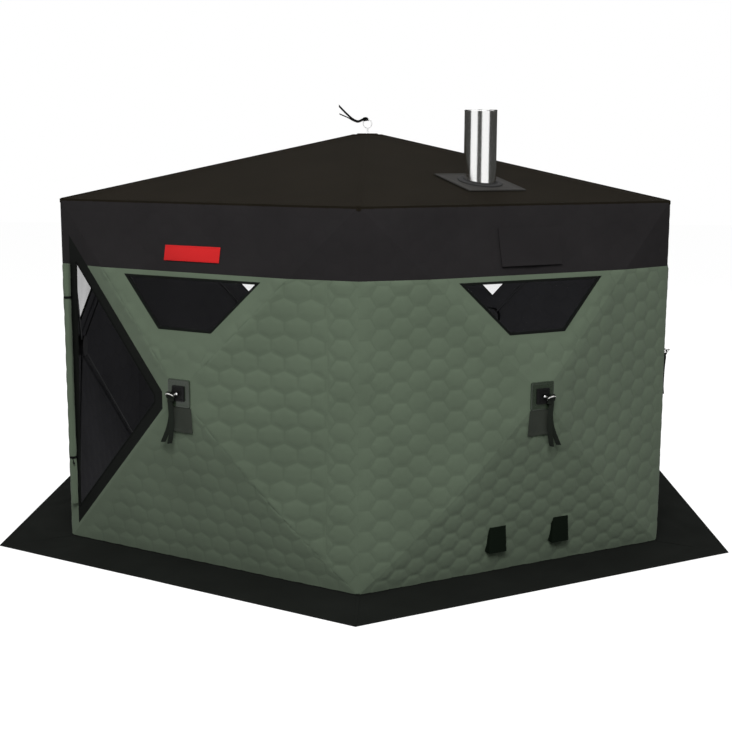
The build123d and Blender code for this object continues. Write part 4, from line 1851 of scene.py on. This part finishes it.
# ---- stove
@dataclass
class StoveOutlet:
    """The stove pipe with its rubber boot and flashing sheet."""

    plan: Plan
    wall: float = 0.0012
    inset: float = 0.388
    flashing_width: float = 0.330
    flashing_rows: Sequence[Point] = ((0.0, 0.0003), (0.0, 0.0042), (0.0015, 0.0060), (0.0130, 0.0060),
                                      (0.0150, 0.0044), (0.0300, 0.0042))
    boot_radius: float = 0.112
    boot_top: float = 0.0118
    lip: float = 0.0055

    def build(self) -> None:
        """Make the pipe, the boot and the flashing."""
        low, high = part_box("stove_pipe")
        centre, radius = (low + high) / 2, (high.x - low.x) / 2
        lean = Matrix.Rotation(math.atan(self.plan.pitch), 4, "X")
        at = Matrix.Translation((centre.x, centre.y, self.plan.roof_height(self.inset)))
        slope = at @ STOVE_SIDE.turn @ lean
        self._pipe(low, high)
        self._flashing(slope, radius)
        self._boot(slope, radius)

    def _pipe(self, low: Vector, high: Vector) -> None:
        """Make the steel tube with a rolled rim and a lock seam at the back.

        Args:
            low: The lowest corner of its box.
            high: The highest one.
        """
        centre, radius = (low + high) / 2, (high.x - low.x) / 2
        foot, head, inner = low.z, high.z, radius - self.wall
        rolled = radius + 0.0006
        profile = [(inner, foot), (radius, foot), (radius, foot + 0.002), (radius, head - 0.009),
                   (radius, head - 0.006), (rolled, head - 0.0045), (rolled, head - 0.001),
                   (radius - 0.0004, head), (inner - 0.0004, head - 0.0006), (inner, head - 0.003),
                   (inner, head - 0.006), (inner, foot + 0.002)]
        tube = lathe(profile, Matrix.Translation((centre.x, centre.y, 0.0)), 128)
        back = Vector((0.35, 1.0, 0.0)).normalized()
        start = Vector((centre.x, centre.y, foot)) + back * (radius + 0.0004)
        run = straight(start, start + UP * (head - foot - 0.008), 12)
        seam = swept(run, strap_section(0.009, 0.0014), back.cross(UP))
        add_piece("stove_pipe_tube", merge([tube, seam]), PIPE_STEEL, replaces=["stove_pipe"])

    def _flashing(self, slope: Matrix, radius: float) -> None:
        """Make the square heatproof sheet with a bound edge and a round hole.

        Args:
            slope: The roof's slope at the pipe.
            radius: The pipe's radius.
        """
        rings = []
        for inset, level in self.flashing_rows:
            reach = self.flashing_width / 2 - inset
            corners = [Vector((x * reach, y * reach, level)) for x, y in SQUARE]
            rings.append([spot for a, b in pairs(corners) for spot in straight(a, b, 24)[:-1]])
        for level in (0.0046, 0.0003):
            rings.append(circle(radius + 0.001, 96, (0.0, 0.0, level), -0.75 * math.pi))
        sheet = transformed(through(rings, closed=True), slope)
        add_piece("stove_flashing_sheet", sheet, FLASHING, replaces=["stove_flashing"])

    def _boot(self, slope: Matrix, radius: float) -> None:
        """Make the rubber boot: a flat disc on the slope with a low lip round the pipe.

        Args:
            slope: The roof's slope at the pipe.
            radius: The pipe's radius.
        """
        edge, top = self.boot_radius, self.boot_top
        profile = [(edge, 0.0045), (edge, 0.0085), (edge - 0.003, 0.0112), (edge - 0.014, top),
                   (edge - 0.017, 0.0105), (radius + 0.009, 0.0108), (radius + 0.0055, top + self.lip * 0.4),
                   (radius + 0.0045, top + self.lip), (radius + 0.0015, top + self.lip),
                   (radius + 0.0010, 0.0045)]
        add_piece("stove_boot_rubber", lathe(profile, slope, 96), RUBBER, replaces=["stove_boot"])


# ---- skirt and small fittings
@dataclass
class Skirt:
    """The snow skirt: six strips sewn at the corners, flat on the ground."""

    plan: Plan
    thickness: float = 0.0016
    lift: float = 0.0004
    edge_gap: float = 0.0015
    hem: float = 0.016
    turn_up: float = 0.012

    def build(self) -> None:
        """Make the skirt's cloth, its hem and the seams at its corners."""
        outer = -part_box("snow_skirt")[0].y
        inner = self.plan.corner_radius - 0.004
        reach = outer - self.edge_gap - inner
        under, over = ([self._ring(inner + reach * share, share, lift) for share in np.linspace(0.0, 1.0, 17)]
                       for lift in (self.lift, self.lift + self.thickness))
        bm = through([*under, *over[::-1]], closed=True)
        cloth = add_piece("snow_skirt_cloth", bm, SKIRT, replaces=["snow_skirt"])
        trim = self._trim(inner, outer)

    def _ring(self, radius: float, share: float, lift: float) -> list[Spot]:
        """One ring of the skirt's points, with the cloth's low waves.

        Args:
            radius: Its corner radius.
            share: Share of the way out.
            lift: Height over the ground.

        Returns:
            The points.
        """
        ring = []
        for index in range(SIDES):
            for spot in hexagon_edge(radius, index, 0.0, 40)[:-1]:
                wave = max(0.0, ripples(spot.x, spot.y, 90, 0.55))
                rise = 0.0042 * wave * share * (1.15 - share) + 0.0010 * share
                ring.append((spot.x, spot.y, lift + rise))
        return ring

    def _trim(self, inner: float, outer: float) -> Object:
        """Make the folded hem, the corner seams and the strip that is sewn to the walls.

        Args:
            inner: Corner radius at the walls.
            outer: Corner radius at the hem.

        Returns:
            The trim as one piece.
        """
        parts = []
        for index in range(SIDES):
            hem = hexagon_edge(outer - self.edge_gap - self.hem / 2, index, 0.0032, 30)
            middle = hexagon_corner(1.0, index) + hexagon_corner(1.0, index + 1)
            parts.append(swept(hem, strap_section(self.hem, 0.0022), middle))
            seam = straight(*(hexagon_corner(r, index, 0.0034) for r in (inner + 0.01, outer - 0.02)), 12)
            parts.append(swept(seam, strap_section(0.014, 0.0022), UP.cross(seam[0])))
            foot = hexagon_edge(self.plan.corner_radius + 0.0012, index, self.turn_up / 2 + 0.001, 30)
            parts.append(swept(foot, strap_section(self.turn_up, 0.0018), UP))
        return add_piece("snow_skirt_seams", merge(parts), SKIRT)


@dataclass
class WallFittings:
    """The vent flap, the plain red patch and the two cord hoods."""

    plan: Plan
    vent_width: float = 0.345
    vent_drop: float = 0.110
    vent_height: float = 0.178
    vent_lift: float = 0.016
    vent_cloth: float = 0.0020
    label_width: float = 0.330
    label_height: float = 0.074
    label_drop: float = 0.241
    label_lift: float = 0.0052
    stitch_inset: float = 0.006
    stitch_lift: float = 0.0069
    hood_top: float = 0.095
    hood_foot: float = 0.108
    hood_height: float = 0.126
    hood_depth: float = 0.032
    hood_base: float = 0.119
    hood_cloth: float = 0.0022
    hood_places: tuple[float, float] = (-0.157, 0.216)

    def build(self) -> None:
        """Make the four fittings."""
        self._vent()
        self._patch()
        self._hoods()

    def _vent(self) -> None:
        """Make the vent flap, sewn along its head and lifted a little at its foot."""
        frame = self.plan.face_frame(STOVE_SIDE, self.plan.eave - self.vent_drop, upper=True)
        length = self.vent_height * math.hypot(1.0, self.plan.hub_reach / self.plan.upper_rise)
        bm = transformed(double_sheet(40, 24, partial(self._vent_point, length)), frame)
        piece = add_piece("vent_flap_cloth", bm, BLACK, replaces=["vent_flap"])

    def _vent_point(self, length: float, skin: int, share: float, down: float) -> Vector:
        """A point of the vent flap in its face's frame.

        Args:
            length: The flap's length down the face.
            skin: 0 for the back and 1 for the front.
            share: Share of the way across.
            down: Share of the way down.

        Returns:
            The point.
        """
        across = share * 2 - 1
        lift = 0.0040 + self.vent_lift * 0.80 * down ** 1.4 * (1.0 - 0.45 * across ** 2)
        lift += 0.0012 * math.sin(3.1 * across + 2.0 * down) * down
        hem = 0.0008 if down > 0.92 or abs(across) > 0.955 else 0.0
        skin_lift = self.vent_cloth + hem if skin else -hem * 0.3
        return Vector((across * self.vent_width / 2, -length * down, lift + skin_lift))

    def _patch(self) -> None:
        """Make the plain red patch, with rounded corners and a stitched border."""
        frame = self.plan.face_frame(DOOR_SIDE, self.plan.eave - self.label_drop, upper=True)
        at = frame @ Matrix.Translation((0.0, 0.0, self.label_lift))
        parts = [block((self.label_width, self.label_height, 0.0030), at, 0.0012)]
        x, y = self.label_width / 2 - self.stitch_inset, self.label_height / 2 - self.stitch_inset
        corners = [Vector((i * x, j * y, self.stitch_lift)) for i, j in SQUARE]
        for (start, end), steps in zip(pairs(corners), (29, 7, 29, 7)):
            thread = swept(straight(start, end, steps), round_section(0.0007, 6), UP.cross(end - start))
            parts.append(transformed(thread, frame))
        add_piece("red_cloth_patch", merge(parts), RED, replaces=["red_patch"])

    def _hoods(self) -> None:
        """Make the two cord hoods: cloth shells sewn on three sides and open below."""
        frame = self.plan.face_frame(STOVE_SIDE, self.hood_base, upper=False)
        parts = [transformed(double_sheet(36, 18, partial(self._hood_point, at)), frame)
                 for at in self.hood_places]
        add_piece("cord_hood_shells", merge(parts), HOOD, replaces=["cord_hoods"])

    def _hood_point(self, at: float, skin: int, share: float, up: float) -> Vector:
        """A point of one hood's bent sheet in its face's frame.

        Args:
            at: The hood's middle along the wall.
            skin: 0 for the outside and 1 for the inside.
            share: Share of the way across.
            up: Share of the way up.

        Returns:
            The point.
        """
        inset = self.hood_cloth * skin
        half = (self.hood_foot + (self.hood_top - self.hood_foot) * up) / 2 - inset
        depth = max((self.hood_depth - 0.004) * (1 - up) + 0.007 - inset, 0.0035)
        top = half - 0.072 * half
        corners = np.array([(-half, 0.0005), (-top, depth), (top, depth), (half, 0.0005)])
        run = np.cumsum([0.0, *np.linalg.norm(np.diff(corners, axis=0), axis=1)])
        x, z = (np.interp(share * run[-1], run, column) for column in corners.T)
        return Vector((at + x, self.hood_height * up + 0.002 - (0.6 * inset if up == 1.0 else 0.0), z))


# ---- inner frame
@dataclass
class InnerFrame:
    """The rods, hubs, pockets and bolts, which keep the frame's own shapes."""

    plastic: Sequence[str] = ("wall_poles", "roof_poles", "inner_hubs", "roof_hub", "corner_pockets")
    bolts: str = "hub_bolts"

    def build(self, nodes: dict[str, Object]) -> None:
        """Give each node its finish.

        Args:
            nodes: The frame's nodes by name.
        """
        for name in (*self.plastic, self.bolts):
            dress(nodes[name], WASHER if name == self.bolts else ROD)
            LOG.info("%s: dressed", name)


# ---- studio
@dataclass
class Studio:
    """The camera, the white floor and the plain soft lights."""

    camera_place: Spot = (0.1545, -7.3094, 1.9991)
    camera_down: float = 0.166
    camera_yaw: float = 0.0218
    camera_roll: float = 0.0028
    lens: float = 62.02
    floor_size: float = 60.0
    world_light: float = 0.25
    white: Sequence[float] = (1.0, 1.0, 1.0, 1.0)
    lamps: Sequence[tuple[str, Spot, float, float]] = (
        ("key", (0.0, -9.0, 7.2), 4.0, 1.52),
        ("left_fill", (-8.5, -3.0, 4.5), 5.0, 0.20),
        ("right_fill", (8.5, -3.0, 4.5), 5.0, 0.20),
        ("back", (0.0, 9.0, 6.0), 5.0, 0.90),
        ("top", (0.0, 1.0, 9.0), 6.0, 0.10),
    )
    aim: Spot = (0.0, 0.0, 0.9)
    inner_power: float = 62.0
    inner_size: float = 0.35
    inner_place: Spot = (0.34, -0.15, 0.8)
    curtain_radius: float = 10.0
    curtains: Sequence[Point] = ((-110.0, -82.0), (-34.0, 201.0))
    mat: Spot = (5.4, -3.5, 2.6)

    def build(self) -> None:
        """Set up camera, floor, world, lamps and curtains."""
        bpy.context.scene.view_settings.view_transform = "Standard"
        self._camera()
        self._floor()
        self._world()
        self._lamps()
        self._curtains()

    def _mesh(self, name: str, bm: Mesh, material: bpy.types.Material) -> Object:
        """Put a mesh of the studio into the scene.

        Args:
            name: Its name.
            bm: The mesh, which is freed.
            material: Its material.

        Returns:
            The object.
        """
        mesh = bpy.data.meshes.new(name)
        bm.to_mesh(mesh)
        bm.free()
        mesh.materials.append(material)
        return new_object(name, mesh)

    def _camera(self) -> None:
        """Set the camera at a standing person's eye height before the front corner."""
        data = bpy.data.cameras.new("camera")
        data.lens = self.lens
        data.sensor_width = 36.0
        camera = new_object("camera", data)
        place = Matrix.Translation(self.camera_place)
        turns = ((self.camera_yaw, "Z"), (math.pi / 2 - self.camera_down, "X"), (self.camera_roll, "Z"))
        for angle, axis in turns:
            place = place @ Matrix.Rotation(angle, 4, axis)
        camera.matrix_world = place
        bpy.context.scene.camera = camera

    def _floor(self) -> None:
        """Make a white floor that keeps the hut's shadow."""
        bm = bmesh.new()
        bmesh.ops.create_grid(bm, x_segments=2, y_segments=2, size=self.floor_size / 2)
        material, net, shader = new_material("white_floor")
        net.fill(shader, {"Base Color": (0.18, 0.18, 0.18, 1.0), "Roughness": 1.0, "Specular IOR Level": 0.0})
        shade = net.add("BsdfDiffuse", {"Color": (0.22, 0.22, 0.22, 1.0)})
        glow = net.add("Emission", {"Strength": 0.93})
        seen = net.add("AddShader", {0: shade.outputs["BSDF"], 1: glow.outputs["Emission"]})
        mix = net.add("MixShader", {"Fac": net.seen_ray(), 1: shader.outputs["BSDF"],
                                    2: seen.outputs["Shader"]})
        net.fill(net.nodes["Material Output"], {"Surface": mix.outputs["Shader"]})
        floor = self._mesh("floor", bm, material)
        floor.location.z = -0.001

    def _world(self) -> None:
        """Make the world white where it is seen, and plain soft light elsewhere."""
        world = bpy.data.worlds.new("studio")
        bpy.context.scene.world = world
        world.use_nodes = True
        net = Network(world.node_tree)
        net.nodes.clear()
        light = net.add("Background", {"Color": self.white, "Strength": self.world_light})
        plain = net.add("Background", {"Color": self.white})
        mix = net.add("MixShader", {"Fac": net.seen_ray(), 1: light.outputs["Background"],
                                    2: plain.outputs["Background"]})
        net.add("OutputWorld", {"Surface": mix.outputs["Shader"]})

    def _lamps(self) -> None:
        """Hang one wide soft key above the camera, weaker ones round the hut and a dim one inside it."""
        for name, place, size, power in self.lamps:
            data = bpy.data.lights.new(name, "AREA")
            data.size = size
            data.energy = power * math.pi ** 2 * Vector(place).length ** 2 / 2
            lamp = new_object(name, data)
            aim = (Vector(self.aim) - Vector(place)).to_track_quat("-Z", "Y")
            lamp.matrix_world = Matrix.Translation(place) @ aim.to_matrix().to_4x4()
            lamp.visible_glossy = lamp.visible_camera = False
        data = bpy.data.lights.new("inner", "POINT")
        data.energy = self.inner_power
        data.shadow_soft_size = self.inner_size
        lamp = new_object("inner", data)
        lamp.location = self.inner_place
        lamp.visible_glossy = lamp.visible_camera = False

    def _curtains(self) -> None:
        """Hang dark curtains that only gloss sees, with bright gaps beside the camera, and lay a dark mat."""
        bm = bmesh.new()
        for start, end in self.curtains:
            count = max(4, int(abs(end - start) / 6))
            turns = np.radians(np.linspace(start, end, count + 1))
            spots = [self.curtain_radius * Vector((math.cos(turn), math.sin(turn), 0.0)) for turn in turns]
            low, high = ([bm.verts.new(spot + UP * height) for spot in spots] for height in (0.3, 9.0))
            for a, b, c, d in zip(low, low[1:], high[1:], high):
                bm.faces.new((a, b, c, d))
        x, y, size = self.mat
        bm.faces.new([bm.verts.new((x + i * size, y + j * size, 0.002)) for i, j in SQUARE])
        material, net, shader = new_material("curtain_cloth")
        net.fill(shader, {"Base Color": (0.07, 0.07, 0.065, 1.0), "Roughness": 1.0})
        curtain = self._mesh("studio_curtains", bm, material)
        curtain.visible_camera = curtain.visible_diffuse = False
        curtain.visible_shadow = curtain.visible_transmission = False


def main() -> None:
    """Load the frame and build the hut piece by piece."""
    logging.basicConfig(level=logging.INFO, format="%(name)s %(message)s")
    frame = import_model()
    plan = Plan.from_frame()
    Studio().build()
    walls = Walls(plan)
    walls.build()
    Windows(plan, walls).build()
    Doorway(plan, walls).build()
    for side in Side:
        WallHub(plan, side).build()
    Roof(plan).build()
    StoveOutlet(plan).build()
    Skirt(plan).build()
    WallFittings(plan).build()
    InnerFrame().build(frame["nodes"])


if __name__ == "__main__":
    main()
